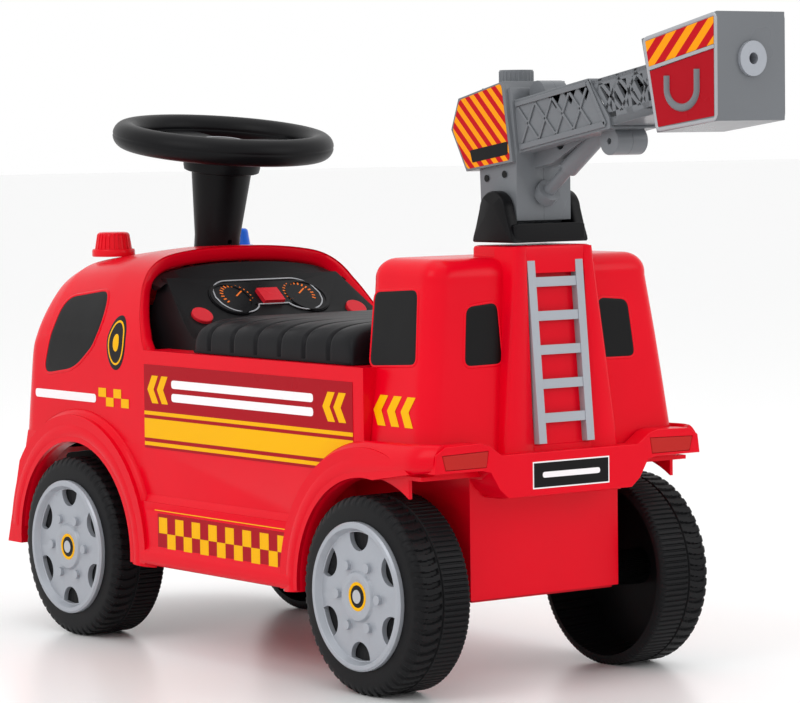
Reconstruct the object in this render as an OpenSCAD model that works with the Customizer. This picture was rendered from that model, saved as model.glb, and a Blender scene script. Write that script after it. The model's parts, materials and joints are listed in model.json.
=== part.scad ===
// Foot-to-floor ride-on fire engine with a swivelling crane boom.
// Millimetres. +Z is up, the nose points to -Y and the rider's left is +X.
// Every length is set out from the rear axle line; place() then moves the
// whole model so that its origin is under the middle of its overall length.

/* [Chassis] */
// Distance between the front and rear axles
wheelbase = 405; // [345:1:486]
// Reach of the nose ahead of the front axle
nose_reach = 155; // [135:1:186]
// Reach of the rear bumper face behind the rear axle
tail_reach = 76; // [70:1:86]
// Width across the side panels
body_w = 250; // [215:1:300]
// Distance between the left and right wheel centre planes
track = 232; // [200:1:280]
// Bottom face of the chassis tray above the ground
tray_z = 66; // [56:1:70]
// Wall of the moulded body shells
wall = 3; // [2:0.1:4]
// Gap between the wheel tread and its arch
arch_gap = 13; // [10:1:16]

/* [Heights] */
// Rise of the seat ledge above the belt line
side_rise = 75; // [62:1:90]
// Rise of the cab hoop above the seat ledge
hoop_rise = 79; // [70:1:95]
// Rise of the rear cabin roof above the seat ledge
cabin_rise = 79; // [66:1:92]
// Length of the rear cabin at its foot
cabin_len = 80; // [68:1:88]

/* [Wheels] */
// Wheel diameter over the tread
wheel_d = 146; // [132:1:176]
// Wheel width over the tread
wheel_w = 52; // [43:1:62]
// Diameter of the silver wheel cover
cover_d = 109; // [92:1:116]
// Diameter of the steel axles and kingpins
axle_d = 10; // [8:0.5:12]
// Number of windows and of studs in a wheel cover
cover_windows = 6; // [5:1:7]

/* [Steering] */
// Backward lean of the steering axis and the kingpins
steer_lean = 8; // [4:1:12]
// Length of the arms that the tie bar joins
arm_len = 38; // [32:1:44]
// Diameter of the steering wheel over its rim
steer_d = 184; // [156:1:214]
// Diameter of the steering wheel's rim tube
rim_d = 22; // [18:1:26]
// Height of the rim's middle above the cab hoop
steer_rise = 87; // [76:1:104]
// Diameter of the column at the cab roof
column_d = 38; // [32:1:46]

/* [Seat] */
// Thickness of the seat pad
seat_t = 24; // [20:1:29]
// Depth of the storage bin below the ledge
bin_depth = 96; // [80:1:112]
// Diameter of the seat hinge rod
hinge_d = 6; // [5:0.5:8]

/* [Crane] */
// Upward slope of the boom
boom_angle = 9.5; // [5:0.5:14]
// Length of the boxed boom section
boom_len = 90; // [76:1:108]
// Height of the boxed boom section
boom_h = 39; // [34:1:44]
// Width of the boxed boom section
boom_w = 45; // [40:1:50]
// Length of the open lattice section beyond the boxed one
reach = 74; // [62:1:88]
// Length of the bucket along its top edge
bucket_len = 76; // [64:1:91]
// Width of the bucket
bucket_w = 62; // [52:1:74]
// Height of the bucket's end face
bucket_h = 74; // [62:1:88]
// Diameter of the nozzle ring in the bucket's end face
nozzle_d = 24; // [20:1:28]
// Diameter of the pin that the crane tilts on
lift_pin_d = 8; // [6:0.5:9]

/* [Hidden] */
$fn = 64;

run_gap = 0.05;      // radial running clearance of a shaft in its bore
free_gap = 0.4;      // gap between pieces that move past each other
over = 1;            // how far a cutting shape runs past the face it cuts

// wheels and axles
wheel_r = wheel_d / 2;
axle_r = axle_d / 2;
bore_r = axle_r + run_gap;
hub_r = axle_r + 8;
cover_r = cover_d / 2;
cover_inset = 4.4;                       // tread shoulder inboard of the cover's face
wheel_out = track / 2 + wheel_w / 2;     // outer plane of the wheel covers
wheel_in = track / 2 - wheel_w / 2;      // inner plane of the wheels
front_y = -wheelbase;

// body levels and stations
arch_r = wheel_r + arch_gap;
belt_z = wheel_r + arch_r + 4;
ledge_z = belt_z + side_rise;
hoop_z = ledge_z + hoop_rise;
cabin_z = ledge_z + cabin_rise;
half_w = body_w / 2;
flare_w = half_w + 8;                    // fender lips
sill_w = half_w + 5;                     // raised sill between the wheels
sill_h = 50;
lip_w = 22;                              // width of the raised lip round an arch
nose_y = front_y - nose_reach;
nose_z = tray_z + 19;
nose_bow = 44;                           // how far the nose bows out between its corners
nose_lean = 17;                          // backward lean of the nose
panel_front = front_y + arch_r + 11;     // front edge of the side panels
panel_rear = -arch_r - 14;               // start of the rear wheel arches
box_w = 2 * (wheel_in - 20);             // narrow box between the rear wheels
box_rear = tail_reach - 31;
cabin_rear = tail_reach - 16;
cabin_front = cabin_rear - cabin_len;
house_w = wheel_in - 44;                 // clear width inside the steered front wheels

// cab
cab_base_y = nose_y + 33;
cab_lean = 11;                           // backward lean of the cab front
hoop_y = panel_front - 43;
roof_front_y = hoop_y - 58;
window_lip = 0.3;

// steering, in a frame that leans with the kingpins and starts at the front axle
king_x = wheel_in - axle_r - 5;
king_boss_r = axle_r + 4;
beam_low = 17;
beam_top = 58;
arm_w = 62;                              // height of the steering arms in that frame
arm_t = 10;
tie_t = 6;
tie_pin_r = 3;
tie_gap = 1;
column_y = front_y + 17;                 // where the column meets the roof
column_dy = column_y - front_y;
column_dz = hoop_z - 5 - wheel_r;
shaft_u = column_dy * cos(steer_lean) - column_dz * sin(steer_lean);
roof_w = column_dy * sin(steer_lean) + column_dz * cos(steer_lean);
rim_w = roof_w + (steer_rise + 5) / cos(steer_lean);
column_top = rim_w - 26;
column_r = column_d / 2;

// seat and dashboard
seat_front = panel_front + 64;
seat_rear = cabin_front - 15;
seat_half = half_w - 7;
hinge_y = seat_front - 8;
hinge_z = ledge_z + hinge_d / 2 + 3.8;
knuckle_r = hinge_d / 2 + 3;
dash_foot_y = hinge_y - 24;
dash_foot_z = ledge_z + 10;
dash_top_y = hoop_y + 16;
dash_top_z = hoop_z - 24;
dash_half = half_w - 25;
dash_angle = atan2(dash_top_z - dash_foot_z, dash_foot_y - dash_top_y);
dash_mid_y = (dash_top_y + dash_foot_y) / 2;
dash_mid_z = (dash_top_z + dash_foot_z) / 2;
gauge_v = -7;                            // gauge centre up the slope from its middle
dial_x = 37;
dial_r = 20;
horn_x = 26;
horn_v = 24;
round_x = min(76, dash_half - 22);
round_v = 12;
round_r = 9;
press = 2;                               // travel of a button
dash_t = 2.6;

// sound unit
sound_y = panel_front + 8;
sound_len = 50;
sound_half = 48;
sound_z = ledge_z - 54;
sound_top = ledge_z - wall;
speaker_r = 21;
speaker_t = 15;

// storage bin
bin_front = hinge_y + 14;
bin_rear = panel_rear - 8;
bin_half = half_w - 24;
bin_wall = 2.4;

// pillar and ladder on the back of the cabin
pillar_lean = 2.7;
ladder_lean = 5.3;
pillar_foot = 55;
pillar_top = 36;
pillar_y = cabin_rear + 7.5;
plinth_z = cabin_z + 8;
plinth_t = 4;
pillar_len = (plinth_z - belt_z) / cos(pillar_lean);
ladder_half = 26;
rail_w = 7;
rail_t = 6;
rungs = 5;
rung_t = 7;
ladder_low = 18;
ladder_len = pillar_len - ladder_low - 3;
rung_pitch = (ladder_len - 42) / (rungs - 1);

// crane, from its pivots
turret_y = cabin_rear - 29;
turret_half = 36.5;
turret_depth = 48;
turret_z = plinth_z + 1;
lobe_r = 19;
lift_z = turret_z + 21;
post_r = 16;
ring_top = plinth_z - plinth_t - free_gap;
mast_half = 25.4;
mast_depth = 42;
mast_rear = turret_y + 16.3;
mast_front = mast_rear - mast_depth;
mast_low = lift_z - 4;
root_y = mast_rear - 1;
root_z = lift_z + 65;
head_z = root_z + 28;
boom_half = boom_w / 2;
sleeve_t = 1.8;                          // wall of the boxed section
fit_gap = 0.1;                           // gap round pieces that plug together
inner_half = boom_half - sleeve_t - fit_gap;
inner_h = boom_h - 2 * (sleeve_t + fit_gap);
inner_start = boom_len - 24;
inner_end = boom_len + reach;
socket = 12;                             // depth of the boom's end in the bucket
lug_r = 10;
lug_half = 14;
weight_half = 29;
bucket_half = bucket_w / 2;
bucket_y = root_y + (inner_end - socket) * cos(boom_angle);
bucket_z = root_z + (inner_end - socket) * sin(boom_angle);
bucket_lean = 12;
bucket_slope = 12;
bucket_root_top = 34;                    // top of the bucket above the boom's end
bucket_root_h = bucket_h - 9;            // height of the bucket where the boom enters
end_y = bucket_y + bucket_len;
end_top = bucket_z + bucket_root_top + (bucket_len + 2) * tan(bucket_slope);
nozzle_z = end_top - 32;
nozzle_out = 2.5;
tip_y = end_y + nozzle_out;
cap_y = mast_front + 11;
cap_r = 12.5;

shift_y = -(nose_y + tip_y) / 2;

// ---------------------------------------------------------------- helpers

// moves a piece from the axle set-out to the model's own origin
module place() translate([0, shift_y, 0]) children();

// an outline drawn in (y, z), carried across the width
module across(half, middle = 0)
    translate([middle, 0, 0]) rotate([90, 0, 90]) translate([0, 0, -half])
        linear_extrude(2 * half) children();

// an outline drawn in (x, z), carried from y0 to y1
module along(y0, y1) translate([0, y1, 0]) rotate([90, 0, 0]) linear_extrude(y1 - y0) children();

// an outline drawn in (x, y), carried up from z0 to z1
module rise(z0, z1) translate([0, 0, z0]) linear_extrude(z1 - z0) children();

module both_sides() { children(); mirror([1, 0, 0]) children(); }

module block(x, y, z) translate([x[0], y[0], z[0]]) cube([x[1] - x[0], y[1] - y[0], z[1] - z[0]]);

module rod_x(r, x0, x1, y, z) translate([x0, y, z]) rotate([0, 90, 0]) cylinder(r = r, h = x1 - x0);

// plan with a bowed front end
module bowed(half, front, back, bow) {
    nose_r = (half * half + bow * bow) / (2 * bow);
    intersection() {
        translate([-half, front]) square([2 * half, back - front]);
        union() {
            translate([0, front + nose_r]) circle(r = nose_r, $fn = 180);
            translate([-half, front + nose_r]) square([2 * half, back - front]);
        }
    }
}

// frame that leans with the kingpins: z runs up the steering axis
module lean_frame(u = 0) translate([0, front_y, wheel_r]) rotate([-steer_lean, 0, 0])
    translate([0, u, 0]) children();

// frame on the dashboard slope: y runs down the slope, z stands out of it
module dash_frame(x = 0, v = 0) translate([0, dash_mid_y, dash_mid_z])
    rotate([-dash_angle, 0, 0]) translate([x, v, 0]) children();

// frame on the back face of the pillar, or on the floor of its ladder recess:
// z runs up the face and y stands out of it
module pillar_frame(lean = pillar_lean) translate([0, pillar_y, belt_z]) rotate([lean, 0, 0]) children();

module boom_frame() translate([0, root_y, root_z]) rotate([boom_angle, 0, 0]) children();

// frame of one wheel: x points outboard
module wheel_frame(side, y) translate([side * track / 2, y, wheel_r])
    mirror([side < 0 ? 1 : 0, 0, 0]) children();

// ---------------------------------------------------------------- body

module body_outline(inset = 0) offset(delta = -inset) polygon([
    [nose_y, nose_z], [nose_y, belt_z], [panel_front, belt_z],
    [panel_front, ledge_z], [cabin_front + 11, ledge_z], [cabin_front + 11, belt_z],
    [cabin_rear, belt_z], [cabin_rear, belt_z - wall], [box_rear, belt_z - wall],
    [box_rear, tray_z + 2], [panel_front, tray_z + 2], [panel_front, nose_z]]);

// plan of the nose, carried up its backward lean
module nose_mass(half, inset, back, bow = nose_bow) intersection() {
    translate([0, nose_y, nose_z]) rotate([-nose_lean, 0, 0])
        rise(-2 * wheelbase, 2 * wheelbase) bowed(half, inset, 3 * wheelbase, bow);
    block([-half, half], [nose_y, back], [0, hoop_z]);
}

module body_mass(inset = 0) intersection() {
    across(half_w - inset) body_outline(inset);
    nose_mass(half_w - inset, inset, tail_reach);
}

// raised lips round the wheel arches
module fender_lips() intersection() {
    union() {
        for (y = [front_y, 0]) both_sides()
            rod_x(arch_r + lip_w, half_w - wall, flare_w, y, wheel_r);
        both_sides() block([half_w - wall, sill_w], [panel_front, panel_rear],
            [tray_z + 2, tray_z + 2 + sill_h]);
    }
    difference() {
        nose_mass(flare_w, 0, tail_reach - 8, nose_bow + 6);
        rise(0, tray_z + 2) square(4 * wheelbase, center = true);
        block([-half_w - 0.2, half_w + 0.2], [nose_y, panel_front + wall], [belt_z, hoop_z]);
        // the rear lip runs straight back to the bumper
        across(2 * half_w) polygon([[12, 0], [12, wheel_r + arch_r - 0.5], [cabin_rear, belt_z + 3],
            [2 * tail_reach, belt_z + 3], [2 * tail_reach, 0]]);
    }
}

module arch_cuts() for (y = [front_y, 0]) both_sides()
    rod_x(arch_r, wheel_in - 16, flare_w + over, y, wheel_r);

// hollows of the lower body
module body_hollows() {
    in_w = half_w - wall;
    // nose bay, open underneath and open into the cab
    intersection() {
        nose_mass(in_w, wall, panel_front - 1.5);
        rise(-over, belt_z - wall) square(4 * wheelbase, center = true);
    }
    rise(belt_z - 2 * wall, belt_z + over) bowed(in_w - 14, cab_base_y + 14, panel_front - 8, nose_bow - 8);
    // middle bay below the seat
    block([-in_w, in_w], [panel_front + wall, panel_rear - wall], [0, ledge_z - wall]);
    block([-in_w, in_w], [panel_rear - 2 * wall, cabin_front - wall], [belt_z, ledge_z - wall]);
    block([-bin_half + wall, bin_half - wall], [bin_front + wall, bin_rear - wall],
        [ledge_z - 2 * wall, ledge_z + over]);
    block([-dash_half + 8, dash_half - 8], [panel_front + wall, dash_foot_y - 4],
        [ledge_z - 2 * wall, ledge_z + over]);
    // box between the rear wheels
    block([-box_w / 2 + wall, box_w / 2 - wall], [panel_rear + wall, box_rear - wall], [0, belt_z - wall]);
    block([-box_w / 2 + 14, box_w / 2 - 14], [panel_rear + 14, box_rear - 14], [belt_z - 2 * wall, belt_z + over]);
    // rear wheel houses
    both_sides() block([box_w / 2, in_w], [panel_rear + wall, tail_reach + over], [0, belt_z - wall]);
    // passages of the chassis tray through the two bulkheads
    block([-house_w - fit_gap, house_w + fit_gap], [panel_front - 2, panel_front + wall + over],
        [0, tray_z + 17]);
    block([-box_w / 2 + wall, box_w / 2 - wall], [panel_rear - wall - over, panel_rear + wall + over],
        [0, tray_z + 17]);
}

// posts that the chassis tray is screwed to
module tray_posts() both_sides() for (y = [panel_front + 14, panel_rear - 14])
    difference() {
        translate([half_w - 10, y, tray_z + wall]) cylinder(r = 6, h = ledge_z - tray_z - 2 * wall + over);
        translate([half_w - 10, y, tray_z]) cylinder(r = 1.6, h = 30);
    }

module nose_openings(gap = 0) {
    block([-64 + gap, 64 - gap], [nose_y - over, nose_y + 30], [nose_z + 12 + gap, belt_z - 26 - gap]);
    both_sides() block([76 + gap, 112 - gap], [nose_y - over, nose_y + 60],
        [nose_z + 14 + gap, belt_z - 32 - gap]);
}

module body_shell() color("#e0112b") {
    difference() {
        union() { body_mass(); fender_lips(); }
        body_hollows();
        arch_cuts();
        nose_openings();
        cabin_mass();
        lean_frame(shaft_u) cylinder(r = column_r + 4, h = 2 * hoop_z);
        rod_x(axle_r + 1, -half_w, half_w, 0, wheel_r);
    }
    tray_posts();
}

// the strip of nose wall that fills one opening
module nose_fill() intersection() {
    difference() { body_mass(); body_hollows(); }
    nose_openings(window_lip);
    children();
}

module grille() color("#1b1b1d") difference() {
    nose_fill() block([-70, 70], [nose_y - 2, nose_y + 40], [0, belt_z]);
    // blind slots
    difference() {
        for (i = [0 : 3]) block([-56, 56], [nose_y - over, nose_y + 40],
            [nose_z + 17 + 9 * i, nose_z + 21 + 9 * i]);
        body_mass(wall - 1.2);
    }
}

module headlights() color("#e8eef2") both_sides()
    nose_fill() block([70, 120], [nose_y - 2, nose_y + 70], [0, belt_z]);

// ---------------------------------------------------------------- cab

module cab_outline(inset = 0) offset(delta = -inset) polygon([
    [cab_base_y - 2, belt_z], [cab_base_y - 2, hoop_z - 60], [cab_base_y + 20, hoop_z - 34],
    [cab_base_y + 36, hoop_z - 18], [cab_base_y + 58, hoop_z - 8], [roof_front_y + 6, hoop_z - 2],
    [roof_front_y + 26, hoop_z],
    [hoop_y, hoop_z], [hoop_y + 12, hoop_z - 29], [panel_front, ledge_z], [panel_front, belt_z]]);

// half outline in (x, z), mirrored to make the whole one
module mirrored(points) for (m = [0, 1]) mirror([m, 0]) polygon(concat(
    [[0, points[0][1]]], points, [[0, points[len(points) - 1][1]]]));

module cab_section(inset = 0) offset(delta = -inset) mirrored([
    [half_w, belt_z - 2 * inset], [half_w - 1, ledge_z], [half_w - 4, ledge_z + 15],
    [half_w - 9, ledge_z + 29], [half_w - 19, ledge_z + 48], [half_w - 31, hoop_z - 14],
    [half_w - 50, hoop_z - 7], [40, hoop_z - 2], [0, hoop_z]]);

module cab_mass(inset = 0) intersection() {
    across(half_w) cab_outline(inset);
    along(nose_y, panel_front + over) cab_section(inset);
    translate([0, cab_base_y, belt_z]) rotate([-cab_lean, 0, 0])
        rise(-wheelbase, wheelbase) bowed(half_w - inset, inset, wheelbase, nose_bow - 2);
}

module cab_hollow() {
    cab_mass(wall);
    // open underneath
    intersection() {
        block([-half_w, half_w], [nose_y, panel_front - wall], [belt_z - over, belt_z + 2 * wall]);
        rise(belt_z - over, belt_z + 2 * wall)
            bowed(half_w - wall, cab_base_y + wall + 1, panel_front - wall, nose_bow - 2);
    }
    // opening that faces the rider
    intersection() {
        block([-half_w, half_w], [hoop_y - 6, panel_front + over], [ledge_z - 20, hoop_z - 12]);
        along(hoop_y - 6, panel_front + over) cab_section(12);
    }
}

module cab_openings(gap = 0) {
    // windscreen
    block([-96 + gap, 96 - gap], [nose_y, cab_base_y + 44], [belt_z + 42 + gap, hoop_z - 36 - gap]);
    // side windows
    across(half_w + over) offset(delta = -gap) polygon([
        [cab_base_y + 64, belt_z + 49], [cab_base_y + 78, belt_z + 84],
        [cab_base_y + 84, hoop_z - 42], [hoop_y - 32, hoop_z - 34], [hoop_y - 25, hoop_z - 55],
        [hoop_y - 31, hoop_z - 77], [hoop_y - 64, belt_z + 57]]);
}

module beacon_spots() both_sides() translate([60, cab_base_y + 73, 0]) children();

module cab() color("#e0112b") {
    difference() {
        cab_mass();
        cab_hollow();
        cab_openings();
        lean_frame(shaft_u) cylinder(r = column_r + 2, h = 2 * hoop_z);
    }
    beacon_spots() difference() {
        translate([0, 0, hoop_z - 20]) cylinder(r = 21, h = 7);
        cab_mass();
    }
}

module cab_pane(x, y) intersection() {
    difference() { cab_mass(0.8); cab_mass(wall - 0.2); }
    cab_openings(window_lip);
    block(x, y, [belt_z, hoop_z]);
}

module windscreen() color("#141518") cab_pane([-97, 97], [nose_y, cab_base_y + 45]);
module cab_windows() color("#141518") both_sides()
    cab_pane([98, half_w + over], [cab_base_y + 50, panel_front]);

module beacon_lens() {
    translate([0, 0, hoop_z - 13]) cylinder(r = 18, h = 20);
    translate([0, 0, hoop_z + 7]) cylinder(r1 = 18, r2 = 15, h = 4, $fn = 64);
}
module beacon(side) difference() {
    translate([side * 60, cab_base_y + 73, 0]) beacon_lens();
    cab_mass();
}
module beacon_red() color("#e0112b") beacon(1);
module beacon_blue() color("#1565d8") beacon(-1);

// ---------------------------------------------------------------- rear cabin

module cabin_outline(inset = 0) offset(delta = -inset) polygon([
    [cabin_front, belt_z], [cabin_front, belt_z + 24], [cabin_front - 12, cabin_z - 16],
    [cabin_front - 9, cabin_z - 5], [cabin_front + 6, cabin_z], [cabin_rear - 26, cabin_z],
    [cabin_rear - 15, cabin_z - 5], [cabin_rear - 11, cabin_z - 15], [cabin_rear - 2, belt_z + 22],
    [cabin_rear, belt_z]]);

module cabin_section(inset = 0) offset(delta = -inset) mirrored([
    [half_w, belt_z - 2 * inset], [half_w - 6, belt_z + 22], [half_w - 15, cabin_z - 63],
    [half_w - 22, cabin_z - 17], [half_w - 28, cabin_z - 7], [half_w - 42, cabin_z]]);

module cabin_mass(inset = 0) intersection() {
    across(half_w) cabin_outline(inset);
    along(-wheelbase, tail_reach) cabin_section(inset);
}

module pillar(inset = 0) intersection() {
    pillar_frame() along(-20, 0) polygon([
        [-pillar_foot + inset, 0], [-pillar_top + inset, pillar_len - inset],
        [pillar_top - inset, pillar_len - inset], [pillar_foot - inset, 0]]);
    rise(belt_z, plinth_z) translate([-half_w, cabin_front]) square([body_w, 2 * cabin_len]);
}

module plinth(inset = 0) block([-pillar_top + inset, pillar_top - inset],
    [turret_y - turret_depth / 2 - 1 + inset, cabin_rear - 0.5], [cabin_z - 12, plinth_z - inset]);

module cabin_openings(gap = 0) {
    across(half_w + over) offset(delta = -gap) polygon([
        [cabin_front + 2, ledge_z], [cabin_front - 2, cabin_z - 25],
        [cabin_rear - 29, cabin_z - 22], [cabin_rear - 22, ledge_z + 2]]);
    both_sides() along(cabin_rear - 20, cabin_rear + over) offset(delta = -gap) polygon([
        [45, ledge_z + 1], [81, ledge_z + 1], [77, cabin_z - 33], [47, cabin_z - 31]]);
}

module rear_cabin() color("#e0112b") difference() {
    union() { cabin_mass(); pillar(); plinth(); }
    cabin_mass(wall);
    pillar(plinth_t);
    translate([0, -plinth_t, 0]) plinth(plinth_t);
    // recess of the ladder
    pillar_frame(ladder_lean) block([-ladder_half - over, ladder_half + over], [0, 30],
        [ladder_low - over, 2 * pillar_len]);
    block([-half_w + 2 * wall, half_w - 2 * wall], [cabin_front + wall, cabin_rear - wall],
        [belt_z - over, belt_z + 2 * wall]);
    cabin_openings();
    translate([0, turret_y, 0]) cylinder(r = post_r + run_gap, h = plinth_z + over);
}

module cabin_windows() color("#141518") {
    difference() {
        intersection() {
            difference() { cabin_mass(0.8); cabin_mass(wall - 0.2); }
            cabin_openings(window_lip);
        }
        // keeps the four panes apart
        block([-44, 44], [-wheelbase, tail_reach], [belt_z, plinth_z]);
    }
}

module ladder() color("#9a9da1") pillar_frame(ladder_lean) {
    both_sides() block([ladder_half - rail_w, ladder_half], [0, rail_t], [ladder_low, ladder_low + ladder_len]);
    for (i = [0 : rungs - 1]) translate([0, 0, ladder_low + 15 + i * rung_pitch])
        block([-ladder_half + rail_w - over, ladder_half - rail_w + over], [0.5, rail_t - 0.5], [0, rung_t]);
}

// ---------------------------------------------------------------- rear bumper

module bumper_outline(inset = 0) offset(delta = -inset) mirrored([
    [58, belt_z - 18.5], [66, belt_z - 12], [74, belt_z + 1], [82, belt_z + 3], [half_w, belt_z + 3],
    [half_w - 2, belt_z + 17], [half_w - 10, belt_z + 22], [84, belt_z + 23], [76, belt_z + 21],
    [64, belt_z + 13]]);

module lamp_outline(gap = 0) both_sides() offset(delta = -gap) polygon([
    [78, belt_z + 5], [115, belt_z + 5], [118, belt_z + 16], [76, belt_z + 17]]);

module rear_bumper() color("#e0112b") difference() {
    union() {
        along(cabin_rear, tail_reach) bumper_outline();
        // underside that reaches forward to the box
        intersection() {
            along(box_rear, cabin_rear + over) bumper_outline();
            block([-box_w / 2, box_w / 2], [box_rear, cabin_rear + over], [0, belt_z - wall]);
        }
    }
    along(box_rear + wall, tail_reach - wall) bumper_outline(wall);
    along(tail_reach - 2, tail_reach + over) lamp_outline();
    pillar();
    pillar_frame(ladder_lean) block([-ladder_half - over, ladder_half + over], [-over, 30],
        [ladder_low - over, pillar_len]);
}

module tail_lights() color("#b02418") along(tail_reach - 2, tail_reach) lamp_outline(window_lip);

// ---------------------------------------------------------------- chassis

module chassis_tray() color("#a50d20") difference() {
    union() {
        block([-half_w + wall + 1, half_w - wall - 1],
            [panel_front + wall + 1, panel_rear - wall - 0.5], [tray_z, tray_z + wall]);
        block([-box_w / 2 + wall + 0.5, box_w / 2 - wall - 0.5],
            [panel_rear - wall - 2, box_rear - wall - 0.5], [tray_z, tray_z + wall]);
        block([-house_w, house_w], [front_y + 8, panel_front + 2 * wall], [tray_z, tray_z + wall]);
        // upright ribs
        both_sides() block([house_w - wall, house_w], [front_y + 8, panel_rear + 8],
            [tray_z, tray_z + 16]);
        // saddles of the rear axle
        both_sides() block([box_w / 2 - 16, box_w / 2 - 4], [-11, 11], [tray_z, wheel_r + axle_r + 4]);
        // posts under the front beam
        both_sides() block([house_w - 12, house_w], [front_y + 8, front_y + 20],
            [tray_z, wheel_r + beam_low + 2]);
    }
    rod_x(bore_r, -half_w, half_w, 0, wheel_r);
    lean_frame() block([-king_x, king_x], [-king_boss_r - 60, king_boss_r + 16], [beam_low, 2 * wheel_r]);
}

module rear_axle() color("#c9ccd0") rod_x(axle_r, -wheel_out + 2, wheel_out - 2, 0, wheel_r);

module push_nut(side) rotate([0, 90, 0]) difference() {
    cylinder(r = axle_r + 4.5, h = 3);
    translate([0, 0, -over]) cylinder(r = axle_r, h = 3 + 2 * over);
}

// outer end of the wheel's hub, where the push nut sits
nut_x = wheel_out - 8.3;
module rear_nuts() color("#c9ccd0") both_sides() translate([nut_x, 0, wheel_r]) push_nut();

// tubes that keep the rear wheels off the box
module rear_spacers() color("#2a2a2c") both_sides() difference() {
    rod_x(axle_r + 3.5, box_w / 2, wheel_in + 2 - free_gap, 0, wheel_r);
    rod_x(axle_r, 0, wheel_out, 0, wheel_r);
}

// ---------------------------------------------------------------- wheels

rim_floor = wheel_w / 2 - 9;             // floor of the recess that takes the cover
tread_out = wheel_w / 2 - cover_inset;

module tyre(side, y) color("#1a1a1c") wheel_frame(side, y) {
    rotate([0, 90, 0]) rotate_extrude($fn = 128) polygon([
        [bore_r, -wheel_w / 2 + 2], [hub_r, -wheel_w / 2 + 2], [hub_r, rim_floor - 4],
        [wheel_r - 6, rim_floor - 4], [wheel_r - 6, -wheel_w / 2], [wheel_r - 2.5, -wheel_w / 2],
        [wheel_r, -wheel_w / 2 + 4], [wheel_r, tread_out - 7], [wheel_r - 2.5, tread_out - 2],
        [wheel_r - 8, tread_out], [cover_r + 0.3, tread_out], [cover_r + 0.3, rim_floor],
        [bore_r, rim_floor]]);
    for (i = [0 : 7]) rotate([45 * i, 0, 0])
        block([-wheel_w / 2 + 6, rim_floor - 4], [-1.2, 1.2], [hub_r - 0.5, wheel_r - 5.5]);
}

module cover(side, y) color("#b4b7bc") wheel_frame(side, y) difference() {
    union() {
        rotate([0, 90, 0]) rotate_extrude($fn = 128) polygon([
            [axle_r + 5, rim_floor], [cover_r, rim_floor], [cover_r, wheel_w / 2 - 1.5],
            [cover_r - 1.5, wheel_w / 2], [cover_r - 4.5, wheel_w / 2], [cover_r - 7, rim_floor + 4],
            [19, rim_floor + 5], [17.5, rim_floor + 7.5], [axle_r + 8, rim_floor + 7.5],
            [axle_r + 5, rim_floor + 6]]);
        for (i = [0 : cover_windows - 1]) rotate([(i + 0.5) * 360 / cover_windows, 0, 0])
            rod_x(3.6, rim_floor + 1, rim_floor + 8, 0, cover_r * 0.46);
    }
    for (i = [0 : cover_windows - 1]) rotate([i * 360 / cover_windows, 0, 0])
        rotate([0, 90, 0]) translate([0, 0, rim_floor - over]) linear_extrude(9)
            intersection() {
                circle(r = cover_r - 7.5, $fn = 128);
                translate([-cover_r * 0.82, 0]) circle(r = cover_r * 0.21);
            }
}

// ---------------------------------------------------------------- front axle and steering

module front_beam() color("#202022") difference() {
    union() {
        lean_frame() {
            block([-king_x, king_x], [-8, 8], [beam_low + 14, beam_top - 2]);
            both_sides() translate([king_x, 0, beam_low]) cylinder(r = king_boss_r, h = beam_top - beam_low);
            both_sides() block([house_w - 12, house_w], [-8, 22], [beam_low, beam_top - 2]);
        }
        lean_frame(shaft_u) translate([0, 0, beam_low + 8]) cylinder(r = axle_r + 6, h = beam_top - beam_low - 10);
        lean_frame() block([-axle_r - 6, axle_r + 6], [shaft_u, 0], [beam_low + 14, beam_top - 2]);
    }
    lean_frame() both_sides() translate([king_x, 0, 0]) cylinder(r = bore_r, h = 2 * wheel_r);
    lean_frame(shaft_u) cylinder(r = bore_r, h = 2 * wheel_r);
}

// steel rod bent from the kingpin into the wheel's axle
module stub_axle(side) color("#c9ccd0") mirror([side < 0 ? 1 : 0, 0, 0]) {
    translate([0, front_y, wheel_r]) {
        rod_x(axle_r, king_x, wheel_out - 2, 0, 0);
        translate([king_x, 0, 0]) sphere(r = axle_r);
        // collar behind the hub
        rod_x(axle_r + 3.5, wheel_in - 1, wheel_in + 2 - free_gap, 0, 0);
    }
    lean_frame() translate([king_x, 0, 0]) {
        cylinder(r = axle_r, h = arm_w + arm_t + 0.2);
        // collar under the beam's boss
        translate([0, 0, beam_low - 3 - free_gap]) cylinder(r = axle_r + 3.5, h = 3);
    }
    translate([nut_x, front_y, wheel_r]) push_nut();
}

module steering_arm(side) color("#202022") mirror([side < 0 ? 1 : 0, 0, 0]) lean_frame() {
    difference() {
        union() {
            translate([king_x, 0, arm_w]) cylinder(r = king_boss_r, h = arm_t);
            block([king_x - 7, king_x + 7], [-arm_len, 0], [arm_w, arm_w + arm_t]);
            translate([king_x, -arm_len, arm_w]) cylinder(r = 7, h = arm_t);
        }
        translate([king_x, 0, 0]) cylinder(r = axle_r + 0.02, h = 2 * wheel_r);
    }
    translate([king_x, -arm_len, arm_w + arm_t - over]) cylinder(r = tie_pin_r, h = over + tie_gap + tie_t + 2);
}

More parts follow.
